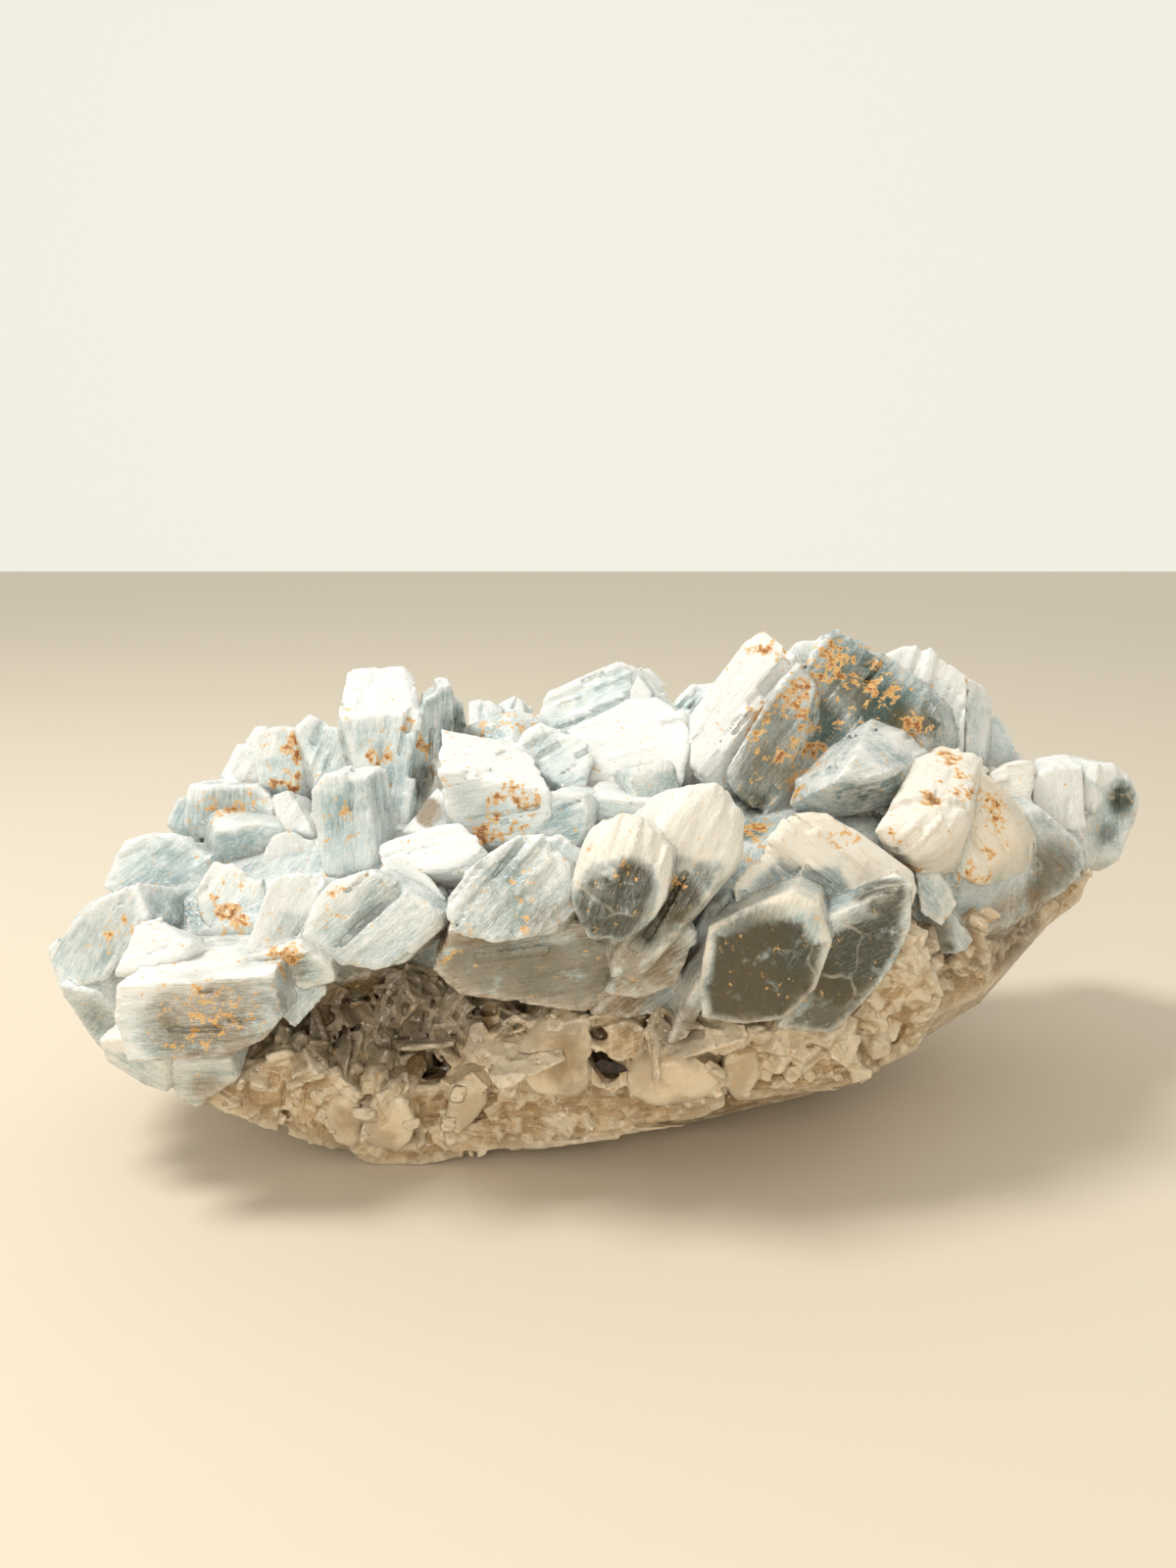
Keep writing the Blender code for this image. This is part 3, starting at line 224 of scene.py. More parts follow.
# Pale crystals of the matrix that show from the front
MATRIX_FRONT = [
    Crystal("pale_slab", [(527, 1095), (526, 1070), (552, 1040), (600, 1036), (607, 1060), (603, 1110),
        (590, 1122), (545, 1118)], -42, (0, 2), (0, 24, 4)),
    Crystal("pale_lump", [(372, 1132), (385, 1119), (412, 1121), (424, 1142), (421, 1166), (405, 1178),
        (380, 1172), (370, 1152)], -36, (0, -5), (0, 24, 4), 0.85, 2.5),
    Crystal("pale_lump_left", [(330, 1135), (342, 1120), (368, 1122), (372, 1150), (362, 1176),
        (340, 1168)], -33, (-5, -10), (0, 24, 6)),
    Crystal("pale_blade", [(456, 1122), (466, 1103), (490, 1100), (500, 1125), (486, 1146), (466, 1162),
        (455, 1150)], -37, (0, -5), (0, 20, 4)),
    Crystal("pale_lens", [(638, 1098), (650, 1083), (700, 1075), (735, 1098), (733, 1116), (700, 1128),
        (665, 1131), (641, 1118)], -43, (0, -12), (0, 24, 6), 0.85, 3.0),
    Crystal("pale_knob", [(737, 1085), (750, 1065), (770, 1070), (778, 1100), (765, 1120), (750, 1126),
        (738, 1110)], -42, (5, -12), (0, 24, 6), 0.85, 3.0),
    Crystal("base_left", [(196, 1120), (245, 1092), (300, 1070), (335, 1090), (380, 1120), (370, 1180),
        (330, 1170), (300, 1158), (262, 1148), (245, 1135)], -31, (0, -15), (10, 34, 10)),
    Crystal("base_front", [(345, 1120), (480, 1100), (600, 1095), (738, 1085), (741, 1128), (700, 1149),
        (600, 1162), (500, 1175), (412, 1186), (385, 1193), (366, 1184)], -31, (0, -4), (0, 60, -8)),
    Crystal("fan_lower", [(742, 1060), (800, 1052), (862, 1052), (880, 1085), (884, 1100), (868, 1110),
        (835, 1108), (802, 1100), (750, 1122)], -38, (8, -28), (0, 34, 12)),
    Crystal("fan_right", [(862, 1050), (902, 986), (925, 955), (946, 976), (962, 1010), (955, 1040),
        (935, 1072), (902, 1086), (884, 1096)], -30, (16, -22), (4, 34, 10)),
    Crystal("right_keel", [(985, 960), (1022, 926), (1062, 925), (1096, 905), (1113, 893), (1101, 916),
        (1060, 952), (1038, 972), (1008, 988), (990, 1012), (972, 1000)], 14, (15, -20), (4, 24, 8)),
    Crystal("hollow_sheet_a", [(384, 1045), (400, 1008), (412, 1006), (410, 1040)], -32, (10, 0),
        (0, 12, 0)),
    Crystal("hollow_sheet_b", [(438, 1070), (440, 1036), (456, 1012), (468, 1016), (470, 1050),
        (456, 1074)], -36, (-10, 0), (0, 14, 0)),
    Crystal("hollow_sheet_c", [(420, 1040), (408, 1008), (424, 994), (440, 1010), (432, 1040)], -34,
        (20, 0), (0, 12, 0)),
    Crystal("hollow_chip_a", [(312, 1052), (330, 1016), (340, 1016), (350, 1052), (330, 1058)], -30, (0, 0),
        (0, 12, 0)),
    Crystal("hollow_chip_b", [(470, 1075), (480, 1045), (510, 1040), (530, 1060), (524, 1090), (490, 1090)],
        -39, (0, 0), (0, 14, 2)),
    Crystal("chip_in_fan", [(606, 1075), (612, 1050), (640, 1040), (660, 1050), (655, 1078), (630, 1084)],
        -42, (5, 0), (0, 14, 2)),
    Crystal("grain_seat", [(602, 1080), (622, 1074), (643, 1079), (646, 1104), (626, 1116), (604, 1108)],
        -41, (0, 0), (0, 16, 2)),
    Crystal("chip_under_sheets", [(660, 1075), (672, 1048), (696, 1040), (708, 1060), (700, 1078)], -44,
        (0, 0), (0, 14, 2)),
    Crystal("chip_under_plate", [(712, 1072), (716, 1045), (760, 1046), (764, 1066), (740, 1078)], -46,
        (0, -5), (0, 14, 2)),
]

# Sections of the two inner beds that the crystals grow from: x, nearest y, farthest y, lowest z, highest z
MATRIX_BED = [
    (-108, -18, 6, 34, 44), (-88, -24, 24, 24, 46), (-58, -24, 40, 8, 46), (-20, -22, 46, -3, 46),
    (20, -24, 48, -3, 46), (56, -22, 50, 6, 48), (88, -8, 54, 22, 50), (110, 14, 50, 38, 52),
]
CRYSTAL_BED = [
    (-112, -20, 4, 36, 50), (-92, -30, 24, 28, 58), (-60, -32, 40, 30, 66), (-20, -30, 46, 34, 70),
    (20, -32, 50, 34, 72), (60, -28, 54, 34, 74), (92, -8, 58, 36, 66), (118, 22, 50, 44, 60),
]
SECTION_CORNERS = 12

# Rows of crystals on the hidden side: how many, from which x to which, how high on the bed, how steeply
# they point up
BackRow = namedtuple("BackRow", "count first last height inwards steep")
BACK_ROWS = [
    BackRow(8, -94, 108, 0.22, 0, -0.1),
    BackRow(9, -100, 114, 0.62, 2, 0.4),
    BackRow(7, -80, 98, 0.95, 12, 1.1),
]
CHIP_COUNT = 46
CHIP_FIRST = -94
CHIP_SPAN = 196
SPREAD_ALONG = 0.7548777
SPREAD_ROUND = 0.5698403
TOP_COLUMNS = 8

# The steps by which a crystal that would show past the photograph's outline is moved: inwards, in depth,
# upwards
BACK_STEP = (0.8, 0, -0.8)
TOP_STEP = (0.3, 0, -0.8)
CHIP_STEP = (0.5, 0, 0.8)

# Crystals smaller than this have plain edges; those that end above the bed get a stem this deep and wide
SMALL_CRYSTAL = 9.0
ROOT_DEPTH = 14.0
ROOT_WIDTH = 0.45
ROOT_INSET = 12
ROOT_PULL = 0.97
BEVEL_INSET = 1.2
BEVEL_RISE = 0.6
BED_CORNERS = 0.7
TUCK_STEPS = 40

# A crystal of the hidden side: its widths, as shares of its size, at heights from its foot to its top
BLOCK_LEVELS = [(-0.6, 1.0), (0.85, 0.92), (1.0, 0.76)]

# The outline that the photograph shows, in its pixels: along the top and along the underside
SKYLINE = [
    (46, 968), (103, 910), (128, 858), (167, 845), (192, 802), (224, 797), (264, 744), (318, 730),
    (350, 735), (400, 692), (460, 700), (478, 722), (540, 722), (632, 676), (690, 712), (740, 692),
    (780, 645), (850, 645), (915, 662), (985, 690), (1012, 722), (1034, 760), (1056, 780), (1145, 784),
    (1164, 815),
]
KEEL = [
    (46, 968), (80, 1040), (122, 1088), (200, 1128), (300, 1155), (385, 1190), (560, 1167), (740, 1125),
    (880, 1105), (935, 1070), (960, 1020), (1015, 985), (1060, 955), (1110, 897), (1150, 860), (1164, 815),
]


def seen_ray(pixel):
    """The direction in which a place in the photograph lies from the viewpoint."""
    across = pixel[0] - PICTURE_MIDDLE[0]
    down = pixel[1] - PICTURE_MIDDLE[1]
    return FORWARD * FOCAL_PIXELS + RIGHTWARD * across - UPWARD * down


def seen_point(pixel, depth):
    """The point at that depth (its y) which the photograph shows at that pixel."""
    ray = seen_ray(pixel)
    return VIEW_FROM + ray * ((depth - VIEW_FROM.y) / ray.y)


def seen_pixel(point):
    """The pixel at which the photograph shows a point."""
    away = point - VIEW_FROM
    scale = FOCAL_PIXELS / away.dot(FORWARD)
    return PICTURE_MIDDLE[0] + away.x * scale, PICTURE_MIDDLE[1] - away.dot(UPWARD) * scale


def line_at(line, across):
    """The height of a line of pixels at that place across the picture."""
    for left, right in zip(line, line[1:]):
        if across <= right[0]:
            break
    share = min(1.0, max(0.0, (across - left[0]) / (right[0] - left[0])))
    return left[1] + (right[1] - left[1]) * share


def middle_of(points):
    return sum(points, Vector()) / len(points)


def crystal_points(crystal):
    """The corners of a crystal: its proud near face, its outline, its far end and any peaks."""
    flat = [seen_point(p, crystal.depth) for p in crystal.face]
    middle = middle_of(flat)
    fall = [math.tan(math.radians(a)) for a in crystal.tilt]
    normal = Vector((fall[0], -1, fall[1]))
    outline = []
    for pixel in crystal.face:
        ray = seen_ray(pixel)
        outline.append(VIEW_FROM + ray * (normal.dot(middle - VIEW_FROM) / normal.dot(ray)))
    middle = middle_of(outline)
    reach = max((p - middle).length for p in outline)
    far_middle = middle + Vector(crystal.run)
    far = [far_middle + (p - middle) * crystal.taper for p in outline]
    peaks = [seen_point((x, y), depth) for x, y, depth in crystal.peaks]
    near = []
    if reach > SMALL_CRYSTAL:
        inset = 1 - BEVEL_INSET * crystal.bevel / reach
        proud = normal.normalized() * (BEVEL_RISE * crystal.bevel)
        near = [middle + (p - middle) * inset + proud for p in outline]
    return near + outline + far + peaks + root_points(far_middle, reach)


def root_points(far_middle, reach):
    """Where a crystal ends above its bed, the corners of the stem that ties it down into the bed."""
    near, far, low, high = bed_at(CRYSTAL_BED, far_middle.x)
    if far_middle.z < high - ROOT_DEPTH and far_middle.y < far:
        return []
    deep = min(max(far_middle.y, near + ROOT_INSET), far - ROOT_INSET)
    foot = Vector((far_middle.x * ROOT_PULL, deep, high - ROOT_DEPTH))
    width = reach * ROOT_WIDTH
    return [foot + Vector((x * width, y * width, 0)) for x in (-1, 1) for y in (-1, 1)]


def block_points(foot, outward, size, turn, rng):
    """The corners of a crystal that stands on the bed at foot: a slab with two cut corners and a bevelled
    top."""
    along = outward.normalized()
    turning = along.to_track_quat("Z", "X").to_matrix() @ Matrix.Rotation(turn, 3, "Z")
    cut = rng.uniform(0.12, 0.3)
    low, high = cut - 0.5, 0.5 - cut
    outline = [(-0.5, low), (low, -0.5), (0.5, -0.5), (0.5, high), (high, 0.5), (-0.5, 0.5)]
    lean = Vector((rng.uniform(-0.12, 0.12), rng.uniform(-0.12, 0.12), 0))
    slope = Vector((rng.uniform(-0.3, 0.3), rng.uniform(-0.3, 0.3), 0))
    points = []
    for height, width in BLOCK_LEVELS:
        for x, y in outline:
            corner = Vector((x * width, y * width, height)) + lean * height
            corner.z += slope.dot(corner) * (height > 0)
            corner = Vector((corner.x * size[0], corner.y * size[1], corner.z * size[2]))
            points.append(foot + turning @ corner)
    return points


def overshoot(points):
    """How far, in pixels, the corners stand past the outline that the photograph shows."""
    worst = 0
    for point in points:
        across, down = seen_pixel(point)
        worst = max(worst, line_at(SKYLINE, across) - down, down - line_at(KEEL, across))
        worst = max(worst, SKYLINE[0][0] - across, across - SKYLINE[-1][0])
    return worst


def tucked_in(foot, outward, size, turn, rng, step):
    """A crystal of the hidden side, moved by steps towards the middle until the outline hides it."""
    state = rng.getstate()
    for tries in range(TUCK_STEPS):
        rng.setstate(state)
        points = block_points(foot, outward, size, turn, rng)
        if overshoot(points) <= 0:
            return points
        foot = foot + Vector((-math.copysign(step[0], foot.x), 0, step[2]))
    return None


def bed_at(bed, x):
    """The section of a bed at x: nearest y, farthest y, lowest z, highest z."""
    for low, high in zip(bed, bed[1:]):
        if x <= high[0]:
            break
    share = min(1.0, max(0.0, (x - low[0]) / (high[0] - low[0])))
    return [a + (b - a) * share for a, b in zip(low[1:], high[1:])]


def bed_ring(bed, x):
    """Corners of the rounded section of a bed at x."""
    near, far, low, high = bed_at(bed, x)
    ring = []
    for i in range(SECTION_CORNERS):
        angle = 2 * math.pi * (i + 0.5) / SECTION_CORNERS
        across = math.copysign(abs(math.cos(angle)) ** BED_CORNERS, math.cos(angle))
        upward = math.copysign(abs(math.sin(angle)) ** BED_CORNERS, math.sin(angle))
        y = (near + far) / 2 + across * (far - near) / 2
        z = (low + high) / 2 + upward * (high - low) / 2
        ring.append(Vector((x, y, z)))
    return ring


def back_crystals(rng):
    """Blue crystals on the hidden side: rows of them round the back and the ends, and low ones over the
    top."""
    found = []
    for row in BACK_ROWS:
        for i in range(row.count):
            x = row.first + (row.last - row.first) * i / (row.count - 1) + rng.uniform(-5, 5)
            near, far, low, high = bed_at(CRYSTAL_BED, x)
            side = min(1.0, max(-1.0, (x - 5) / 118))
            out = Vector((side * 0.9 + rng.uniform(-0.35, 0.35), 1, row.steep + rng.uniform(-0.15, 0.15)))
            size = (rng.uniform(19, 31), rng.uniform(14, 23), rng.uniform(16, 24))
            foot = Vector((x, far - row.inwards - 10, low + (high - low) * row.height))
            found.append(tucked_in(foot, out, size, rng.uniform(0, math.pi), rng, BACK_STEP))
    for i in range(TOP_COLUMNS):
        x = -76 + 22 * i + rng.uniform(-4, 4)
        near, far, low, high = bed_at(CRYSTAL_BED, x)
        for share in (0.45, 0.75):
            y = near + (far - near) * (share + rng.uniform(-0.07, 0.07))
            out = Vector((rng.uniform(-0.5, 0.5), rng.uniform(-0.3, 0.6), 1))
            size = (rng.uniform(17, 26), rng.uniform(12, 19), rng.uniform(10, 15))
            foot = Vector((x, y, high - 5))
            found.append(tucked_in(foot, out, size, rng.uniform(0, math.pi), rng, TOP_STEP))
    return [points for points in found if points]


def matrix_chips(rng):
    """Small pale crystals crowded on the lower flanks, all the way round."""
    found = []
    for i in range(CHIP_COUNT):
        x = CHIP_FIRST + CHIP_SPAN * ((i * SPREAD_ALONG) % 1.0)
        near, far, low, high = bed_at(MATRIX_BED, x)
        turn = 2 * math.pi * ((i * SPREAD_ROUND) % 1.0)
        out = Vector((0.5 * math.cos(turn), math.sin(turn), -0.1 - 0.5 * rng.random()))
        across = math.copysign(abs(math.sin(turn)) ** 0.6, math.sin(turn))
        y = (near + far) / 2 + across * (far - near) / 2 * 0.93
        z = low + (high - low) * (0.16 + 0.5 * rng.random())
        size = (rng.uniform(9, 17), rng.uniform(7, 13), rng.uniform(7, 12))
        foot = Vector((x, y, z))
        found.append(tucked_in(foot, out, size, rng.uniform(0, math.pi), rng, CHIP_STEP))
    return [points for points in found if points]


# How the fine surface is made, in millimetres: the pitch of the grids that the solids are blended on, how
# far round a solid its grid reaches, and how much of the surface's texture stands out.
FRONT_PITCH = 0.55
HIDDEN_PITCH = 0.9
COARSE_PITCH = 1.2
GRID_MARGIN = 3.0
OUTSIDE = 4.0
FAR = 99.0
SAME_FACE = math.cos(math.radians(4))
SMALLEST_FACE = 0.02
HACKLE = 0.11
HACKLE_SHELL = 2.0
HACKLE_NOISE = [(6.0, 0.0, 0.35), (2.6, 5, 0.35)]
FINE_HACKLE = (1.3, 23, 0.4)
TERRACES = (4.2, 11, 3.5, 0.9)
MATRIX_HACKLE = 0.8
RIDGES = 0.15
RIDGE_SHELL = 1.6
FINE_RIDGES = np.array([0.13, 1.0, 0.5])
FINE_RIDGE_SIZE = 1.15
BROAD_RIDGES = np.array([0.2, 1.0, 0.7])
BROAD_RIDGE_SIZE = 3.1
BROAD_RIDGE_SHARE = 0.6
SCARS_PER_MM = 0.7
SCAR_RISE = (-1.1, 0.7)
LAYER_THICKNESS = 1.7
LAYER_STEP = 0.7
LAYER_COUNT = 400
LAYER_REACH = 330.0
LAYER_PITCH = 0.1
EDGE_ROUNDING = 0.2
LUMP_BLEND = 1.2
SHARD_BLEND = 0.12
SHARP_ANGLE = math.radians(24)
SOFT_BEVEL = 0.5
LUMP_ROUNDING = 1.8
LATTICE_SIZE = 32
RIM_WIDTH = 3.4
FRONTAL = -0.72
GRAIN_STRETCH = 0.12
FLOOR_CUT = 0.02
BURIED = -1.8
BURIED_CUT = 0.97

# How a crystal looks: shares of chalky white skin, dark glassy core inside a pale rim, cream, iron stain
# and painted shade in deep teal, whether it is a rounded lump, the slope of its growth lines in the picture
# (None: along its longest edge), how strong its ridges and its growth steps are, and how widely it blends
# into its neighbours.
Look = namedtuple("Look", "white core cream stain teal lump lines ridges layers blend",
                  defaults=(0, 0, 0, 0, 0, 0, None, 1.0, 1.0, 0.5))
PLAIN = Look(white=0.25, stain=0.1)
BED_LOOK = Look(white=0.1, stain=0.2, teal=0.3)
MATRIX_LOOK = Look(ridges=0.7)
SMOOTH_LOOK = Look(white=1.0, cream=0.9, lump=1, ridges=0.5, layers=0)
SLAB_LOOK = SMOOTH_LOOK._replace(cream=0)
LOOKS = {
    "left_tip": Look(white=0.2, stain=0.25, lines=60),
    "left_tip_low": Look(white=0.15, teal=0.1, lines=50, layers=0),
    "left_keel": Look(white=0.15, teal=0.15, lines=45, ridges=0.6, layers=0),
    "left_tip_small": Look(white=0.45, lines=20),
    "left_block": Look(white=0.3, stain=0.45, cream=0.15, lines=3, layers=0.35),
    "left_block_end": Look(white=0.3, cream=0.15),
    "left_foot": Look(white=0.35, cream=0.3, lines=-40, layers=0),
    "left_foot_inner": Look(white=0.2, cream=0.5, layers=0),
    "left_shoulder": Look(white=0.15, stain=0.15, teal=0.15, lines=35),
    "stained_block": Look(white=0.3, stain=0.8, cream=0.2, lines=55),
    "buff_piece": Look(white=0.3, cream=0.8, stain=0.4),
    "white_post": Look(white=0.8),
    "white_wedge": Look(white=0.5, lines=60),
    "wedge_foot": Look(white=0.4, stain=0.5, cream=0.2),
    "ledge_crystal": Look(white=0.2, stain=0.2, cream=0.1, lines=40),
    "ledge_upper": Look(white=0.45),
    "tall_prism": Look(white=0.15, stain=0.3, lines=88),
    "chip_by_prism": Look(white=0.7, lines=60),
    "upper_slab": Look(white=0.15, stain=0.6, teal=0.15, lines=88),
    "slab_end": Look(white=0.2),
    "ridge_left": Look(white=0.6, lines=60),
    "ridge_front": Look(white=0.35, stain=0.8, lines=80),
    "ridge_right": Look(white=0.25, stain=0.15, lines=70),
    "peak_block": Look(white=0.35, stain=0.7, lines=80),
    "peak_slab_near": Look(white=0.1, stain=0.3, teal=0.35, lines=85),
    "peak_slab_middle": Look(white=0.1, stain=0.2, teal=0.3, lines=85),
    "peak_slab_far": Look(white=0.1, teal=0.3, lines=85),
    "centre_block": Look(white=0.5, stain=0.6, lines=10),
    "white_slab": Look(white=0.85, stain=0.2),
    "striated_wedge": Look(white=0.5, lines=55),
    "front_centre": Look(white=0.15, stain=0.45, lines=50),
    "front_centre_top": Look(white=0.35, lines=50),
    "centre_shelf": Look(white=0.0, core=0.4, cream=0.55),
    "middle_blue": Look(white=0.3, lines=30),
    "middle_low": Look(white=0.3, lines=20),
    "white_table": Look(white=0.75, lines=12),
    "table_foot": Look(white=0.5),
    "back_hump": Look(white=0.2, lines=20),
    "back_hump_right": Look(white=0.5),
    "twin_left": Look(white=0.6, core=0.1, cream=0.5, lump=1, lines=70, ridges=2.4),
    "twin_right": Look(white=0.75, core=0.1, cream=0.4, lump=1, lines=60, ridges=2.4),
    "sheets_upper": Look(white=0.1, cream=0.5),
    "sheets_lower": Look(white=0.1, cream=0.6),
    "plate_upper": Look(white=0.6, core=0.5, cream=0.6, stain=0.1),
    "plate_front": Look(white=0.3, core=1.0, cream=0.9, layers=0),
    "plate_side": Look(white=0.1, core=0.9, cream=0.6, layers=0),
    "thin_plate": Look(white=0.5, cream=0.3),
    "crevice_block": Look(white=0.1, teal=0.4),
    "white_lobe": Look(white=0.8, cream=0.5, stain=0.2, lump=1, ridges=2),
    "cream_upper": Look(white=0.5, cream=0.9, stain=0.9, lump=1),
    "cream_lower": Look(white=0.6, cream=0.9, stain=0.5, lump=1),
    "wedge": Look(white=0.1, stain=0.35, teal=0.35, cream=0.15, lines=15),
    "prism_white": Look(white=0.8, stain=0.2, lines=52),
    "prism_stained": Look(white=0.2, stain=0.6, teal=0.3, lines=52),
    "prism_dark": Look(white=0.0, stain=0.7, teal=0.55, lines=50),
    "prism_cap": Look(white=0.3, stain=0.3, teal=0.2),
    "back_white": Look(white=0.6, lines=70),
    "back_white_side": Look(white=0.4, lines=85),
    "white_knob": Look(white=0.8, cream=0.3, lump=1),
    "white_block": Look(white=0.85),
    "right_tip": Look(white=0.3, teal=0.15),
    "right_face": Look(white=0.15, teal=0.3, cream=0.1),
    "dark_wedge": Look(teal=0.5, cream=0.1),
    "small_white": Look(white=0.6),
    "right_grey": Look(teal=0.35, cream=0.25),
    "right_sliver": Look(white=0.3, cream=0.4, stain=0.2),
}

# Places of strong colour that the photograph shows: pixel, radius in pixels, strength
STAIN_SPOTS = [
    (228, 828, 26, 0.9), (248, 815, 16, 0.8), (292, 800, 20, 1.0), (300, 765, 22, 0.8), (286, 786, 14, 1.0),
    (388, 775, 18, 1.0), (436, 757, 16, 0.9), (412, 735, 18, 0.5), (230, 925, 22, 0.7), (245, 945, 16, 1.0),
    (120, 955, 24, 0.7), (290, 975, 20, 0.8), (352, 835, 24, 0.5), (525, 828, 34, 0.8), (490, 852, 18, 1.0),
    (525, 905, 20, 0.9), (535, 945, 12, 0.9), (200, 1040, 40, 0.5), (250, 1035, 26, 0.5),
    (345, 930, 26, 0.5), (778, 655, 20, 0.9), (800, 668, 14, 0.7), (780, 740, 34, 0.7), (820, 720, 36, 0.9),
    (850, 680, 34, 0.8), (895, 700, 34, 0.6), (930, 745, 20, 0.9), (820, 795, 30, 1.0), (830, 775, 22, 1.0),
    (775, 845, 26, 1.0), (770, 870, 20, 1.0), (980, 800, 30, 0.8), (1010, 830, 30, 0.6),
    (970, 775, 20, 0.8), (905, 845, 20, 0.6), (860, 850, 26, 0.4), (935, 885, 16, 1.0),
    (1000, 890, 22, 0.6), (450, 975, 24, 0.4), (585, 905, 12, 0.6), (600, 860, 12, 0.4),
    (690, 905, 24, 0.4), (675, 1045, 14, 1.0), (395, 1010, 22, 0.5), (330, 1075, 24, 0.4),
    (800, 765, 24, 0.8), (950, 815, 18, 1.0), (640, 890, 20, 0.4), (1015, 870, 16, 0.7),
    (975, 905, 14, 0.8),
]
# Places painted white: partly white crust, partly painted highlight on lit tops
WHITE_AND_HIGHLIGHT_SPOTS = [
    (100, 915, 22, 0.4), (165, 955, 22, 0.8), (180, 990, 60, 0.6), (120, 1060, 18, 0.8),
    (245, 792, 20, 0.8), (305, 900, 30, 0.8), (355, 900, 24, 0.5), (340, 742, 20, 0.9), (400, 705, 34, 0.9),
    (508, 782, 46, 1.0), (440, 862, 38, 1.0), (640, 735, 50, 1.0), (680, 770, 34, 1.0), (740, 720, 44, 1.0),
    (725, 770, 24, 0.5), (815, 845, 44, 1.0), (720, 820, 50, 0.9), (615, 845, 30, 0.9), (655, 850, 30, 0.8),
    (940, 835, 34, 1.0), (1020, 860, 26, 0.9), (1085, 810, 34, 1.0), (1045, 795, 24, 1.0),
    (920, 755, 24, 0.5), (940, 672, 26, 0.9), (1125, 785, 20, 0.9), (1115, 815, 14, 0.8),
    (650, 712, 20, 0.9), (575, 715, 20, 0.6), (600, 690, 16, 0.6), (270, 760, 16, 0.7), (200, 805, 20, 0.4),
    (890, 885, 30, 0.8), (840, 925, 14, 0.5), (985, 700, 16, 0.7),
]
# Places of painted shade: faces in shade, the hollows of the matrix and the crease under the white lobe
SHADE_SPOTS = [
    (437, 800, 24, 1.1), (440, 830, 20, 1.0), (465, 745, 30, 1.0), (835, 740, 34, 0.7), (900, 725, 40, 0.7),
    (870, 815, 34, 0.7), (765, 822, 26, 1.0), (760, 850, 22, 1.0), (705, 975, 20, 0.9), (955, 735, 24, 0.7),
    (1145, 820, 22, 0.8), (1060, 895, 36, 0.6), (950, 945, 30, 0.6), (100, 1035, 26, 0.35),
    (355, 1035, 14, 0.9), (320, 1035, 16, 0.9), (388, 1018, 16, 1.0), (411, 1014, 16, 1.0),
    (450, 1014, 14, 0.9), (305, 1066, 14, 0.8), (411, 1060, 8, 0.9), (400, 1030, 75, 0.75),
    (340, 1045, 50, 0.75), (455, 1035, 50, 0.6), (1040, 950, 50, 0.35), (690, 1045, 34, 0.6),
    (901, 830, 11, 0.5), (912, 823, 11, 0.45), (924, 818, 11, 0.5), (938, 815, 11, 0.45),
    (952, 815, 11, 0.5), (966, 817, 11, 0.45), (980, 822, 11, 0.5), (992, 830, 11, 0.45),
    (780, 790, 40, 0.5), (790, 745, 34, 0.35), (880, 690, 40, 0.5), (1075, 890, 40, 0.5),
    (470, 740, 22, 0.7), (515, 1050, 14, 0.6), (678, 1042, 14, 1.0), (936, 960, 12, 1.0),
    (965, 970, 12, 0.9), (185, 925, 20, 0.4),
]
CORE_SPOTS = [
    (622, 925, 40, 1.2), (642, 903, 26, 1.2), (692, 922, 28, 1.2), (660, 950, 22, 0.8), (900, 912, 28, 1.2),
    (885, 955, 34, 0.8), (770, 960, 36, 0.7), (795, 1000, 34, 0.7), (860, 990, 34, 0.6),
    (1143, 812, 20, 0.8), (1130, 850, 14, 0.6), (725, 895, 18, 0.4),
]
# Places painted warm brown: partly the matrix's own brown, partly painted warm bounce light and shade low
# down and under overhangs
WARM_SPOTS = [
    (100, 940, 60, 0.3), (520, 915, 60, 0.3), (380, 930, 50, 0.2), (230, 830, 40, 0.15),
    (470, 830, 40, 0.25), (480, 985, 60, 1.2), (550, 1000, 60, 1.2), (610, 1010, 60, 1.2),
    (200, 1035, 60, 0.8), (1040, 945, 60, 1.2), (470, 990, 34, 1.0), (540, 1000, 42, 1.0),
    (600, 1020, 40, 1.0), (640, 985, 34, 1.0), (680, 985, 36, 1.0), (690, 945, 26, 0.9),
    (640, 960, 26, 0.8), (725, 925, 22, 0.6), (250, 1060, 36, 0.9), (200, 1072, 34, 0.7),
    (290, 1030, 22, 0.5), (322, 1030, 22, 0.6), (215, 1112, 26, 0.6), (560, 948, 32, 0.6),
    (590, 940, 26, 0.8), (480, 955, 22, 0.3), (760, 1010, 44, 0.8), (820, 1020, 44, 0.8),
    (870, 1030, 34, 0.8), (770, 950, 40, 0.6), (1000, 950, 24, 0.8), (950, 960, 26, 0.6),
    (350, 978, 22, 0.5), (295, 988, 20, 0.6), (640, 878, 24, 0.5), (600, 872, 18, 0.4), (700, 890, 26, 0.5),
    (745, 870, 20, 0.4), (930, 745, 30, 0.6), (600, 960, 30, 0.8), (1060, 940, 44, 0.8),
    (395, 1035, 70, 1.0), (335, 1050, 50, 1.0), (450, 1030, 50, 0.8), (690, 1050, 40, 0.8),
    (530, 1075, 24, 0.4), (790, 770, 40, 0.6), (235, 1030, 46, 0.7), (1030, 945, 50, 0.9),
    (860, 700, 40, 0.4), (1070, 885, 40, 0.6), (1100, 905, 24, 0.7), (1010, 975, 34, 0.7),
    (960, 1000, 30, 0.4), (440, 1010, 50, 0.6), (350, 1050, 40, 0.6), (567, 1082, 50, 0.6),
    (778, 735, 40, 0.5), (762, 800, 34, 0.4), (1020, 960, 40, 1.0),
]

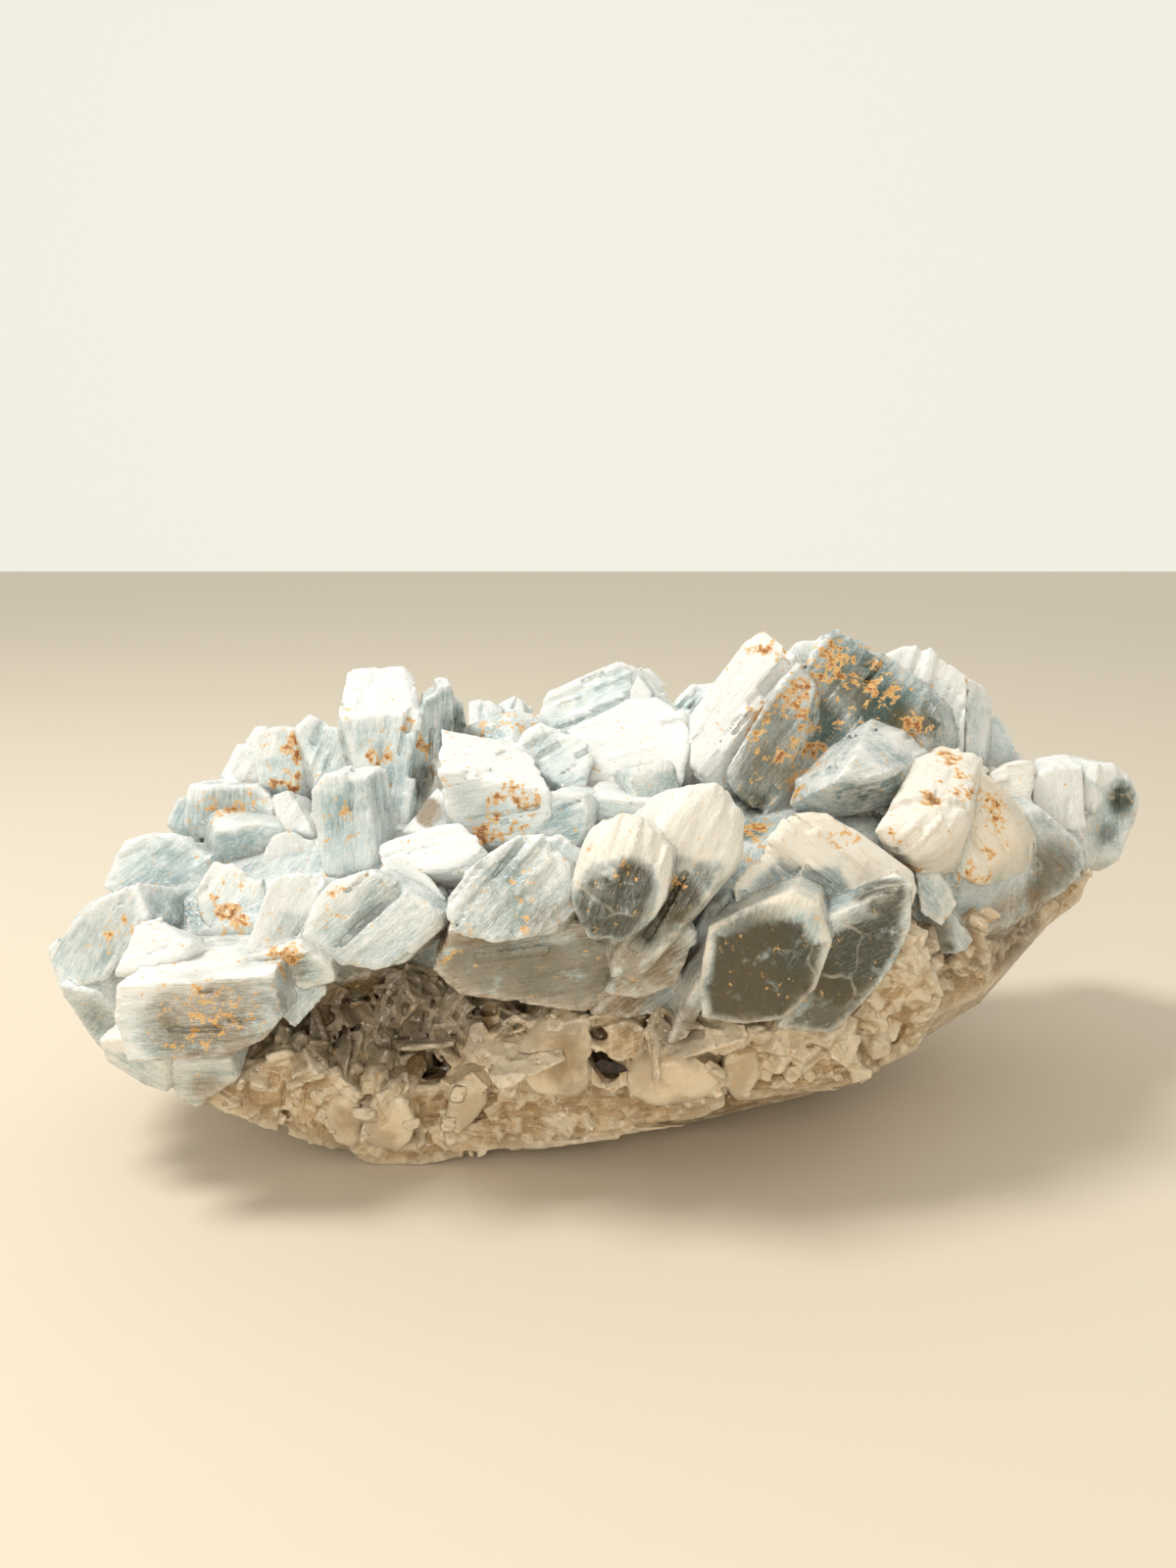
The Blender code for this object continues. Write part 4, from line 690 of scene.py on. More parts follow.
# Angular gaps that the photograph shows between the crystals of the matrix: pixel, width, height in
# millimetres
HOLLOWS = [
    (328, 1032, 6.5, 9.0), (318, 1052, 6.0, 4.0), (303, 1066, 7.0, 2.6), (411, 1060, 2.6, 4.0),
    (408, 1016, 5.0, 8.0), (449, 1014, 4.5, 5.0), (380, 1014, 7.0, 5.5), (358, 1046, 6.5, 4.0),
    (678, 1042, 5.0, 8.0), (532, 1046, 4.0, 4.0), (936, 960, 4.5, 2.4), (964, 970, 3.0, 2.6),
    (700, 1060, 3.4, 4.0), (470, 1040, 3.0, 4.5), (500, 1044, 4.0, 3.4), (610, 1056, 4.0, 3.0),
    (440, 1085, 5.0, 2.2), (621, 1088, 7.5, 4.4), (425, 1032, 5.0, 5.0), (395, 1040, 5.0, 4.0),
    (345, 1062, 5.0, 4.0), (480, 1022, 4.0, 5.0), (305, 1052, 4.5, 3.5), (372, 1068, 4.0, 3.0),
    (700, 1030, 3.6, 5.0), (350, 1085, 4.0, 2.6),
]
HOLLOW_DEPTH = 9.0
GRAIN_SPOT = (623, 1088)
GRAIN_OUTLINE = [
    (607, 1085), (614, 1080), (626, 1084), (637, 1087), (641, 1093), (628, 1096), (614, 1094),
]
GRAIN_RISE = 1.4
GRAIN_ROOT = 3.0
GRAIN_PITCH = 0.25
GRAIN_ROOM = [(592, 1068), (650, 1068), (654, 1116), (596, 1114)]

# Where thin plates cross each other in the matrix (left, top, right and bottom in pixels), and how large
# they grow
PLATE_ZONES = [(310, 990, 535, 1075), (610, 1030, 725, 1085)]
PLATE_GROWTH = (1.4, 4.0)
PLATE_THICKNESS = 1.4

# The crystals of the matrix that stay smooth
SMOOTH_CRYSTALS = ["pale_slab", "pale_lump", "pale_lump_left", "pale_blade", "pale_lens", "pale_knob"]
LOOKS.update({name: SMOOTH_LOOK for name in SMOOTH_CRYSTALS})
LOOKS["pale_slab"] = SLAB_LOOK

# Small broken crystals: how many, smallest and largest across, in millimetres
FRAGMENTS = {
    "matrix": (2300, 2.4, 8.0),
    "blue": (170, 1.6, 5.0),
}

# Where they stand: how near the coarse surface, how deep in the other mineral at most, how full their
# surroundings are at least in a crevice, and how high above the floor. A surface shows from the front where
# its slope in y is below SEEN_SLOPE.
SURFACE_BAND = 0.7
OTHER_DEPTH = -1.0
CREVICE_FILL = 0.62
FLOOR_GAP = 0.5
SEEN_SLOPE = -0.1
FRONT_SLOPE = 0.1

# How many pixels a fragment may stand past the photograph's outline before it is set deeper, and before it
# is left out
LOOSE_PIXELS = 3
TOO_FAR_PIXELS = 5

Solid = namedtuple("Solid", "name planes offsets low high look layers lines axes scars seed")
Group = namedtuple("Group", "name solids late pitch most node")

# The places where the fragments are divided between the groups
SHARD_SPLIT = -4
CRUMB_SPLIT = 20
LEFT_SPLIT = -28
RIGHT_SPLIT = 30


def make_solid(name, points, look, picture_face=None):
    """A convex body as planes, with the directions in which its growth layers stack and its lines run."""
    middle = middle_of(points)
    shape = bmesh.new()
    for point in points:
        shape.verts.new(point)
    bmesh.ops.convex_hull(shape, input=shape.verts)
    planes, offsets = [], []
    for face in sorted(shape.faces, key=lambda f: -f.calc_area()):
        face.normal_update()
        normal = face.normal.copy()
        if normal.dot(face.verts[0].co - middle) < 0:
            normal = -normal
        if face.calc_area() > SMALLEST_FACE and all(normal.dot(other) < SAME_FACE for other in planes):
            planes.append(normal)
            offsets.append(max(normal.dot(v.co) for v in face.verts))
    shape.free()
    seed = sum(ord(c) for c in name) % 97 + int(abs(middle.x) * 7) % 89
    lines = lines_direction(points, look, picture_face)
    toward = Vector((0, -1, 0.15)).normalized()
    layers = lines.cross(toward).normalized()
    axes = np.array([lines, layers, lines.cross(layers).normalized()])
    corners = np.array([tuple(p) for p in points])
    low, high = corners.min(axis=0), corners.max(axis=0)
    solid = Solid(name, np.array([tuple(n) for n in planes]), np.array(offsets), low - GRID_MARGIN,
                  high + GRID_MARGIN, look, np.array(layers), np.array(lines), axes, [], seed)
    if not name.startswith("bed"):
        add_scars(solid, corners, (high - low).mean())
    return solid


def add_scars(solid, corners, size):
    """Chooses where a crystal is broken in small steps, and where small plates stand on it."""
    rng = np.random.default_rng(solid.seed)
    count = int(SCARS_PER_MM * size * (0.5 if solid.look.lump else 1.0) * (solid.look.layers > 0))
    for n in range(count):
        pair = corners[rng.permutation(len(corners))[:3]]
        share = rng.dirichlet((0.9, 0.7, 0.5))
        centre = share @ pair
        levels = solid.planes @ centre - solid.offsets
        nearest = int(np.argmax(levels))
        centre = centre - solid.planes[nearest] * levels[nearest]
        half = size * rng.uniform(0.03, 0.09) * np.array([rng.uniform(1.2, 3.4), rng.uniform(0.12, 0.5), 1.0])
        solid.scars.append((centre, half, rng.uniform(*SCAR_RISE)))


def lines_direction(points, look, picture_face):
    """The way a crystal's growth lines run: as stated, or along the longest edge of the face that is seen."""
    if look.lines is not None:
        slope = math.radians(look.lines)
        return Vector((math.cos(slope), 0.1, math.sin(slope))).normalized()
    if picture_face:
        edges = [Vector((b[0] - a[0], a[1] - b[1])) for a, b in zip(picture_face, picture_face[1:])]
        longest = max(edges, key=lambda e: e.length)
        return Vector((longest.x, 0.1, longest.y)).normalized()
    longest = max(((b - a) for a in points for b in points), key=lambda e: e.length)
    return longest.normalized()


def crystal_solids(crystals, default=PLAIN):
    found = []
    for crystal in crystals:
        look = LOOKS.get(crystal.name, default)
        bevel = crystal.bevel if look.lump else crystal.bevel * SOFT_BEVEL
        points = crystal_points(crystal._replace(bevel=bevel))
        found.append(make_solid(crystal.name, points, look, crystal.face))
    return found


def bed_solids(bed, look):
    """The bed as one convex body between each two of its sections."""
    found = []
    for i, (first, second) in enumerate(zip(bed, bed[1:])):
        points = bed_ring(bed, first[0]) + bed_ring(bed, second[0])
        found.append(make_solid("bed%d" % i, points, look))
    return found


LATTICE = np.random.default_rng(7).uniform(-1, 1, [LATTICE_SIZE] * 3).astype(np.float32)


def blended(value, shares):
    """The blend of the eight corners of each cell, of which value(i, j, k) gives one, by a share along
    each axis."""
    a, b, c = shares
    near = (value(0, 0, 0) * (1 - a) + value(1, 0, 0) * a) * (1 - b)
    near += (value(0, 1, 0) * (1 - a) + value(1, 1, 0) * a) * b
    far = (value(0, 0, 1) * (1 - a) + value(1, 0, 1) * a) * (1 - b)
    far += (value(0, 1, 1) * (1 - a) + value(1, 1, 1) * a) * b
    return near * (1 - c) + far * c


def noise(points, size, shift=0.0):
    """Smooth noise from -1 to 1 at some points, with features of that size."""
    place = points / size + shift
    cell = np.floor(place).astype(np.int32)
    share = (place - cell).astype(np.float32)
    share = share * share * (3 - 2 * share)
    x, y, z = [(side % LATTICE_SIZE, (side + 1) % LATTICE_SIZE) for side in cell.T]
    return blended(lambda i, j, k: LATTICE[x[i], y[j], z[k]], share.T)


class Grid:
    """A block of values on a regular grid, in millimetres."""

    def __init__(self, low, high, pitch, fill):
        self.low = np.asarray(low, dtype=float)
        self.pitch = pitch
        counts = np.ceil((np.asarray(high) - self.low) / pitch).astype(int) + 1
        self.values = np.full(counts, fill, dtype=np.float32)

    def axes(self, low, high):
        """The index range, and the places along each axis, that cover a box."""
        first = np.maximum(np.floor((low - self.low) / self.pitch).astype(int), 0)
        last = np.minimum(np.ceil((high - self.low) / self.pitch).astype(int) + 1, self.values.shape)
        cut = tuple(slice(a, b) for a, b in zip(first, last))
        places = [self.low[k] + self.pitch * np.arange(first[k], last[k], dtype=np.float32) for k in range(3)]
        return cut, places

    def add(self, solid):
        """Joins a solid to the block, as the distance to its surface (negative inside)."""
        cut, distance = self.distance(solid)
        if distance is None:
            return
        radius = LUMP_BLEND if solid.look.lump else solid.look.blend
        held = self.values[cut]
        share = np.maximum(radius - np.abs(held - distance), 0) / radius
        self.values[cut] = np.minimum(held, distance) - share * share * radius / 4

    def cut_out(self, solid):
        """Takes a solid out of the block."""
        cut, distance = self.distance(solid)
        if distance is not None:
            self.values[cut] = np.maximum(self.values[cut], -distance)

    def distance(self, solid):
        """The part of the block round a solid, and the distance there to its layered, worn surface."""
        cut, (x, y, z) = self.axes(solid.low, solid.high)
        if min(len(x), len(y), len(z)) == 0:
            return cut, None
        x, y, z = x[:, None, None], y[None, :, None], z[None, None, :]
        along = (x * solid.layers[0] + y * solid.layers[1] + z * solid.layers[2]).astype(np.float32)
        steps = layer_steps(along, solid.seed) * solid.look.layers
        first = np.full(along.shape, -FAR, dtype=np.float32)
        second = first.copy()
        for normal, offset in zip(solid.planes, solid.offsets):
            level = (x * normal[0] + y * normal[1] + z * normal[2] - offset).astype(np.float32)
            across = abs(float(normal @ solid.layers))
            endwise = abs(float(normal @ solid.lines))
            level += steps * (1 - across) * (0.25 + 0.75 * endwise)
            second = np.maximum(second, np.minimum(first, level))
            first = np.maximum(first, level)
        radius = LUMP_ROUNDING if solid.look.lump else EDGE_ROUNDING
        share = np.maximum(radius - (first - second), 0) / radius
        distance = first + share * share * radius / 4
        if self.pitch < COARSE_PITCH and solid.scars:
            self.scar(solid, distance, cut)
            self.weather(solid, distance, x, y, z)
        return cut, distance

    def scar(self, solid, distance, cut):
        """Breaks small steps out of a crystal along its cleavage, and sets small plates on it the same
        way."""
        corner = self.low + self.pitch * np.array([part.start for part in cut])
        for centre, half, rise in solid.scars:
            low = np.maximum(np.floor((centre - half.max() - 1 - corner) / self.pitch).astype(int), 0)
            high = np.ceil((centre + half.max() + 1 - corner) / self.pitch).astype(int) + 1
            high = np.minimum(high, distance.shape)
            if np.any(high <= low):
                continue
            places = [corner[k] + self.pitch * np.arange(low[k], high[k]) - centre[k] for k in range(3)]
            x, y, z = places[0][:, None, None], places[1][None, :, None], places[2][None, None, :]
            block = np.full((1, 1, 1), -FAR)
            for axis, reach in zip(solid.axes, half):
                block = np.maximum(block, np.abs(x * axis[0] + y * axis[1] + z * axis[2]) - reach)
            part = distance[low[0]:high[0], low[1]:high[1], low[2]:high[2]]
            if rise > 0:
                np.minimum(part, np.maximum(block, part - rise), out=part)
            else:
                np.maximum(part, np.minimum(-block, part - rise), out=part)

    def weather(self, solid, distance, x, y, z):
        """Roughens a crystal's surface with ridges that run along its growth lines."""
        near = np.nonzero(np.abs(distance) < RIDGE_SHELL)
        spots = np.stack([x[near[0], 0, 0], y[0, near[1], 0], z[0, 0, near[2]]], axis=1)
        own = spots @ solid.axes.T
        ridges = noise(own * FINE_RIDGES, FINE_RIDGE_SIZE, solid.seed)
        ridges += BROAD_RIDGE_SHARE * noise(own * BROAD_RIDGES, BROAD_RIDGE_SIZE, solid.seed + 9)
        amount = RIDGES * solid.look.ridges
        distance[near] += (ridges * amount).astype(np.float32)

    def sample(self, points):
        """The values at some points, blended from the nearest corners."""
        place = (points - self.low) / self.pitch
        top = np.array(self.values.shape) - 2
        cell = np.clip(np.floor(place).astype(int), 0, top)
        x, y, z = cell.T
        return blended(lambda i, j, k: self.values[x + i, y + j, z + k], np.clip(place - cell, 0, 1).T)

    def slope(self, points):
        """The outward direction of the surface at some points."""
        step = self.pitch
        found = [self.sample(points + step * axis) - self.sample(points - step * axis) for axis in np.eye(3)]
        found = np.stack(found, axis=1)
        return found / np.maximum(np.linalg.norm(found, axis=1, keepdims=True), 1e-6)


def layer_steps(along, seed):
    """How far each growth layer of a crystal stands back, by the distance along the way the layers stack."""
    rng = np.random.default_rng(seed)
    lengths = rng.uniform(0.45, 1.8, LAYER_COUNT) * LAYER_THICKNESS
    edges = np.cumsum(lengths) - lengths.sum() / 2
    heights = rng.uniform(0, 1, LAYER_COUNT + 1) ** 2 * LAYER_STEP
    count = round(2 * LAYER_REACH / LAYER_PITCH)
    places = LAYER_PITCH * np.arange(count) - LAYER_REACH
    table = heights[np.searchsorted(edges, places)].astype(np.float32)
    return table[np.clip(((along + LAYER_REACH) / LAYER_PITCH).astype(int), 0, count - 1)]


def whole_box(solids):
    return np.min([s.low for s in solids], axis=0), np.max([s.high for s in solids], axis=0)


def coarse_grid(solids):
    grid = Grid(*whole_box(solids), COARSE_PITCH, OUTSIDE)
    for solid in solids:
        grid.add(solid)
    return grid


def in_polygon(pixel, corners):
    """Whether a pixel lies inside an outline of pixels."""
    inside = False
    for (x0, y0), (x1, y1) in zip(corners, corners[1:] + corners[:1]):
        if (y0 > pixel[1]) != (y1 > pixel[1]) and pixel[0] < x0 + (x1 - x0) * (pixel[1] - y0) / (y1 - y0):
            inside = not inside
    return inside


def fragment_spots(kind, grid, other, rng):
    """Where fragments stand on the coarse body: three times as thick where it shows from the front, and
    on the blue crust only in its crevices."""
    near = np.nonzero(np.abs(grid.values) < SURFACE_BAND)
    spots = grid.low + grid.pitch * np.stack(near, axis=1)
    spots = spots[other.sample(spots) > OTHER_DEPTH]
    if kind == "blue":
        spots = spots[CAVITY.sample(spots) > CREVICE_FILL]
    spots = spots[spots[:, 2] > FLOOR_GAP]
    seen = grid.slope(spots)[:, 1] < SEEN_SLOPE
    spots = np.concatenate([spots, spots[seen], spots[seen]])
    return spots[rng.permutation(len(spots))[:FRAGMENTS[kind][0]]]


def fragments(kind, grid, other, rng):
    """Small broken crystals on the surface of the coarse body, off its smooth crystals and off the dark
    grain."""
    smallest, largest = FRAGMENTS[kind][1:]
    chosen = fragment_spots(kind, grid, other, rng)
    outward = grid.slope(chosen)
    smooth = [crystal.face for crystal in MATRIX_FRONT if crystal.name in SMOOTH_CRYSTALS]
    found = []
    draw = random.Random(int(rng.integers(1 << 30)))
    for n, (spot, out) in enumerate(zip(chosen, outward)):
        size = smallest + (largest - smallest) * draw.random() ** 2.2
        flat = draw.uniform(0.3, 0.8)
        pixel = seen_pixel(Vector(spot))
        front = kind == "matrix" and out[1] < FRONT_SLOPE
        if front and any(in_polygon(pixel, face) for face in smooth + [GRAIN_ROOM]):
            continue
        if front and any(a < pixel[0] < c and b < pixel[1] < d for a, b, c, d in PLATE_ZONES):
            size = size * PLATE_GROWTH[0] + PLATE_GROWTH[1]
            flat = PLATE_THICKNESS / size
        way = Vector(out) + Vector([draw.uniform(-0.9, 0.9) for axis in range(3)])
        shape = (size * draw.uniform(0.6, 1.1), size * flat, size * draw.uniform(0.35, 0.8))
        foot = Vector(spot) - Vector(out) * size * draw.uniform(0.1, 0.5)
        turn = draw.uniform(0, math.pi)
        points = block_points(foot, way, shape, turn, draw)
        if overshoot(points) > LOOSE_PIXELS:
            deeper = Vector(spot) - Vector(out) * 0.35 * shape[0]
            points = block_points(deeper, way, [0.5 * part for part in shape], turn, draw)
        if overshoot(points) > TOO_FAR_PIXELS:
            continue
        look = Look(white=draw.uniform(0, 0.9), cream=draw.uniform(0, 0.5), stain=draw.uniform(0, 0.3),
                    ridges=draw.uniform(0.2, 0.6), layers=0.4, blend=SHARD_BLEND)
        if front and any(in_polygon(seen_pixel(p), GRAIN_ROOM) for p in points):
            continue
        found.append(make_solid("%s%d" % (kind, n), points, look))
    return found


def blurred(values, radius, passes=3):
    """The values averaged over boxes of that half-width, several times over."""
    for turn in range(passes):
        for axis in range(3):
            edges = [(radius + 1, radius) if k == axis else (0, 0) for k in range(3)]
            padded = np.pad(values, edges, mode="edge")
            total = np.cumsum(padded, axis=axis, dtype=np.float64)
            width = 2 * radius + 1
            head = np.take(total, range(width, total.shape[axis]), axis=axis)
            tail = np.take(total, range(0, total.shape[axis] - width), axis=axis)
            values = ((head - tail) / width).astype(np.float32)
    return values


def hollow_solids():
    """The gaps in the matrix as bodies, which lean into it from the places where the photograph shows
    them."""
    draw = random.Random(31)
    found = []
    for n, (across, down, width, height) in enumerate(HOLLOWS):
        way = Vector((draw.uniform(-0.3, 0.3), -1, draw.uniform(-0.2, 0.3)))
        foot = Vector(landing((across, down))) + Vector((0, 0.35 * HOLLOW_DEPTH, 0))
        points = block_points(foot, way, (width, height, HOLLOW_DEPTH), draw.uniform(0.3, 1.2), draw)
        found.append(make_solid("hollow%d" % n, points, Look()))
    return found


def grain_points():
    """The corners of the dark grain: its outline in the picture, from in front of the matrix to inside it."""
    middle = landing(GRAIN_SPOT)
    found = []
    for across, down in GRAIN_OUTLINE:
        ray = Vector(seen_ray((across, down)))
        for depth in (middle[1] - GRAIN_RISE, middle[1] + GRAIN_ROOT):
            found.append(VIEW_FROM + ray * ((depth - VIEW_FROM[1]) / ray[1]))
    return found


def surface_of(group):
    """The mesh of a group of solids blended on one grid, with a broken, stepped surface."""
    grid = Grid(*whole_box(group.solids + group.late), group.pitch, GRID_MARGIN)
    for solid in group.solids:
        grid.add(solid)
    if group.node == "pale_matrix":
        for solid in hollow_solids():
            grid.cut_out(solid)
    for solid in group.late:
        grid.add(solid)
    near = np.nonzero(np.abs(grid.values) < HACKLE_SHELL)
    points = grid.low + grid.pitch * np.stack(near, axis=1)
    rough = sum(noise(points, size, shift) * share for size, shift, share in HACKLE_NOISE)
    size, shift, steps, share = TERRACES
    terrace = noise(points, size, shift)
    rough += (np.floor(terrace * steps) / steps - terrace) * share
    if group.pitch < HIDDEN_PITCH:
        size, shift, share = FINE_HACKLE
        rough += noise(points, size, shift) * share
    amount = HACKLE * (MATRIX_HACKLE if group.node == "pale_matrix" else 1.0)
    grid.values[near] += rough * amount
    height = grid.low[2] + grid.pitch * np.arange(grid.values.shape[2], dtype=np.float32)
    np.maximum(grid.values, FLOOR_CUT - height[None, None, :], out=grid.values)
    volume = openvdb.FloatGrid(GRID_MARGIN)
    volume.copyFromArray(grid.values)
    points, triangles, quads = volume.convertToPolygons(0.0, 0.0)
    return points.astype(np.float64) * grid.pitch + grid.low, triangles, quads


def thin_out(made, most):
    """Thins the mesh where it is buried in its neighbours, then evenly, until it has at most that many
    triangles."""
    points = mesh_points(made)
    buried = np.nonzero(WHOLE.sample(points) < BURIED)[0]
    hidden = made.vertex_groups.new(name="buried")
    hidden.add(buried.tolist(), 1.0, "REPLACE")
    mesh = made.data
    share = 1 - BURIED_CUT * len(buried) / len(points)
    collapse(made, share, hidden.name)
    made.data.calc_loop_triangles()
    count = len(made.data.loop_triangles)
    if count > most:
        collapse(made, most / count, "")
    made.vertex_groups.clear()
    bpy.data.meshes.remove(mesh)


def collapse(made, share, group):
    step = made.modifiers.new("thin out", "DECIMATE")
    step.ratio = share
    step.vertex_group = group
    step.vertex_group_factor = 100.0
    bpy.context.view_layer.update()
    graph = bpy.context.evaluated_depsgraph_get()
    made.data = bpy.data.meshes.new_from_object(made.evaluated_get(graph))
    made.modifiers.clear()
    made.data.name = made.name


def split(solids, axis, place):
    """The solids whose middle lies before a place along an axis, and the others."""
    middles = [(s.low[axis] + s.high[axis]) / 2 for s in solids]
    before = [s for s, middle in zip(solids, middles) if middle < place]
    return before, [s for s, middle in zip(solids, middles) if middle >= place]


def mesh_points(made):
    """The corners of an object's mesh, in millimetres."""
    flat = np.empty(len(made.data.vertices) * 3, dtype=np.float32)
    made.data.vertices.foreach_get("co", flat)
    return flat.reshape(-1, 3).astype(float) / MM


def mesh_object(name, points, triangles, quads):
    mesh = bpy.data.meshes.new(name)
    faces = len(triangles) + len(quads)
    corners = np.concatenate([quads.ravel(), triangles.ravel()]).astype(np.int32)
    starts = np.concatenate([np.arange(len(quads)) * 4, len(quads) * 4 + np.arange(len(triangles)) * 3])
    mesh.vertices.add(len(points))
    mesh.vertices.foreach_set("co", (points * MM).astype(np.float32).ravel())
    mesh.loops.add(len(corners))
    mesh.loops.foreach_set("vertex_index", corners)
    mesh.polygons.add(faces)
    mesh.polygons.foreach_set("loop_start", starts.astype(np.int32))
    mesh.update(calc_edges=True)
    mesh.validate()
    mesh.shade_smooth()
    turn_outwards(mesh)
    return in_scene(name, mesh)


def in_scene(name, data):
    """Puts a mesh, a light or a camera in the scene, as an object."""
    made = bpy.data.objects.new(name, data)
    bpy.context.scene.collection.objects.link(made)
    return made


def turn_outwards(mesh):
    """Flips the faces if the surface came out inside out."""
    shape = bmesh.new()
    shape.from_mesh(mesh)
    if shape.calc_volume(signed=True) < 0:
        bmesh.ops.reverse_faces(shape, faces=shape.faces)
        shape.to_mesh(mesh)
    shape.free()


def surface_facts(points, solids):
    """For each point: the crystal it belongs to, how far it is from that crystal's nearest edge, whether
    it lies on the face that is seen, and how far up the side beyond that edge faces."""
    best = np.full(len(points), FAR)
    owner = np.zeros(len(points), dtype=int)
    edge = np.zeros(len(points))
    faces = np.zeros(len(points))
    upward = np.zeros(len(points))
    for n, solid in enumerate(solids):
        inside = np.nonzero(np.all((points > solid.low) & (points < solid.high), axis=1))[0]
        if len(inside) == 0:
            continue
        levels = points[inside] @ solid.planes.T - solid.offsets
        top = levels.max(axis=1)
        closer = top < best[inside]
        chosen = inside[closer]
        levels = levels[closer]
        best[chosen] = top[closer]
        owner[chosen] = n
        order = np.argsort(levels, axis=1)
        highest = order[:, -1]
        frontal = solid.planes[:, 1] < FRONTAL
        outline = np.where(frontal[None, :], -FAR, levels)
        faces[chosen] = frontal[highest]
        upward[chosen] = solid.planes[outline.argmax(axis=1), 2]
        edge[chosen] = np.where(frontal[highest], -outline.max(axis=1), -np.sort(levels, axis=1)[:, -2])
    return owner, edge, faces, upward


def spot_weights(points, spots):
    """How strongly each point is covered by the spots, which are balls round the places where the pixels
    land."""
    weight = np.zeros(len(points))
    for across, down, radius, strength in spots:
        centre = landing((across, down))
        if centre is None:
            continue
        reach = radius * MM_PER_PIXEL
        inside = np.nonzero(np.abs(points - centre).max(axis=1) < reach)[0]
        away = np.linalg.norm(points[inside] - centre, axis=1) / reach
        value = strength * np.clip(1.3 * (1 - away * away), 0, 1)
        weight[inside] = np.maximum(weight[inside], value)
    return weight


def landing(pixel):
    """The place on the specimen that the photograph shows at a pixel."""
    ray = np.array(seen_ray(pixel))
    ray /= np.linalg.norm(ray)
    steps = np.arange(230, 480, 0.5)
    path = np.array(VIEW_FROM) + steps[:, None] * ray
    low = WHOLE.low
    high = low + WHOLE.pitch * (np.array(WHOLE.values.shape) - 1)
    path = path[np.all((path > low) & (path < high), axis=1)]
    if len(path) == 0:
        return None
    values = WHOLE.sample(path)
    hit = np.nonzero(values < 0)[0]
    return path[hit[0]] if len(hit) else None


def dress(made, points, group):
    """Writes on the surface what its material reads: how white and stained each place is, how dark its glassy
    core is, and where light and shade are painted: lit tops, pale edges and rims, warm shade underneath, and
    shade on shaded faces, in creases, crevices and hollows.
    """
    solids = group.solids + group.late
    owner, edge, faces, upward = surface_facts(points, solids)
    looks = np.array([[s.look.white, s.look.core, s.look.cream, s.look.stain, s.look.teal] for s in solids])
    white, core, cream, stain, teal = looks[owner].T
    fill = CAVITY.sample(points)
    rim = RIM_WIDTH * np.clip(0.35 + upward, 0.1, 1)
    inner = np.clip((edge - rim - 1.0 * noise(points, 5.0, 3)) / 1.4, 0, 1)
    core = core * np.where(faces > 0, inner, 0.25) + spot_weights(points, CORE_SPOTS)
    way = WHOLE.slope(points)
    # Painted highlight: white-coated crystals are whitened more the more their faces look upward, as if lit
    # from above
    top = np.clip(way[:, 2], 0, 1)
    white = white + 0.35 * top * (white > 0.05) + 0.8 * spot_weights(points, WHITE_AND_HIGHLIGHT_SPOTS)
    # Painted shade and warm bounce light: faces that look down, low on the specimen, turn warm brown
    underside_bounce_and_shade = 0.6 * np.clip(-way[:, 2], 0, 1) * np.clip((60 - points[:, 2]) / 30, 0, 1)
    warm = spot_weights(points, WARM_SPOTS) + underside_bounce_and_shade
    lines = np.array([s.lines for s in solids])[owner]
    layers = np.array([s.layers for s in solids])[owner]
    side = np.cross(lines, layers)
    grain = np.stack([(points * way).sum(axis=1) for way in (lines, layers, side)], axis=1)
    grain[:, 0] *= GRAIN_STRETCH
    write(made, "White", np.clip(white, 0, 1))
    write(made, "Core", np.clip(core, 0, 1))
    write(made, "Cream", cream)
    write(made, "Warm", np.clip(warm, 0, 1))
    write(made, "Stain", np.clip(0.3 * stain + spot_weights(points, STAIN_SPOTS), 0, 1))
    # Painted shade, deep teal on the crystals and brown in the matrix, from each crystal's teal share and the
    # shade spots
    write(made, "Dark", np.clip(0.7 * teal + 0.9 * spot_weights(points, SHADE_SPOTS), 0, 1))
    # Near each crystal's edges, narrow and wide: painted pale, partly a real white rim and frost, partly
    # painted highlight and glow at lit edges
    write(made, "Rim", np.exp(-np.abs(edge) / 0.8))
    write(made, "Frost", np.exp(-np.abs(edge) / 3.5))
    # How enclosed each place is: the materials darken it there as painted shade, and the iron stain gathers a
    # little more
    write(made, "Crevice", np.clip((fill - 0.5) * 3, 0, 1))
    # Jutting places, painted pale: on the blue crystals partly chalk and partly painted highlight, on the
    # matrix painted highlight
    write(made, "Edge", np.clip((0.48 - fill) * 4, 0, 1))
    write(made, "Grain", grain)


def write(made, name, values):
    kind, field = ("FLOAT", "value") if values.ndim == 1 else ("FLOAT_VECTOR", "vector")
    layer = made.data.attributes.new(name, kind, "POINT")
    layer.data.foreach_set(field, values.astype(np.float32).ravel())


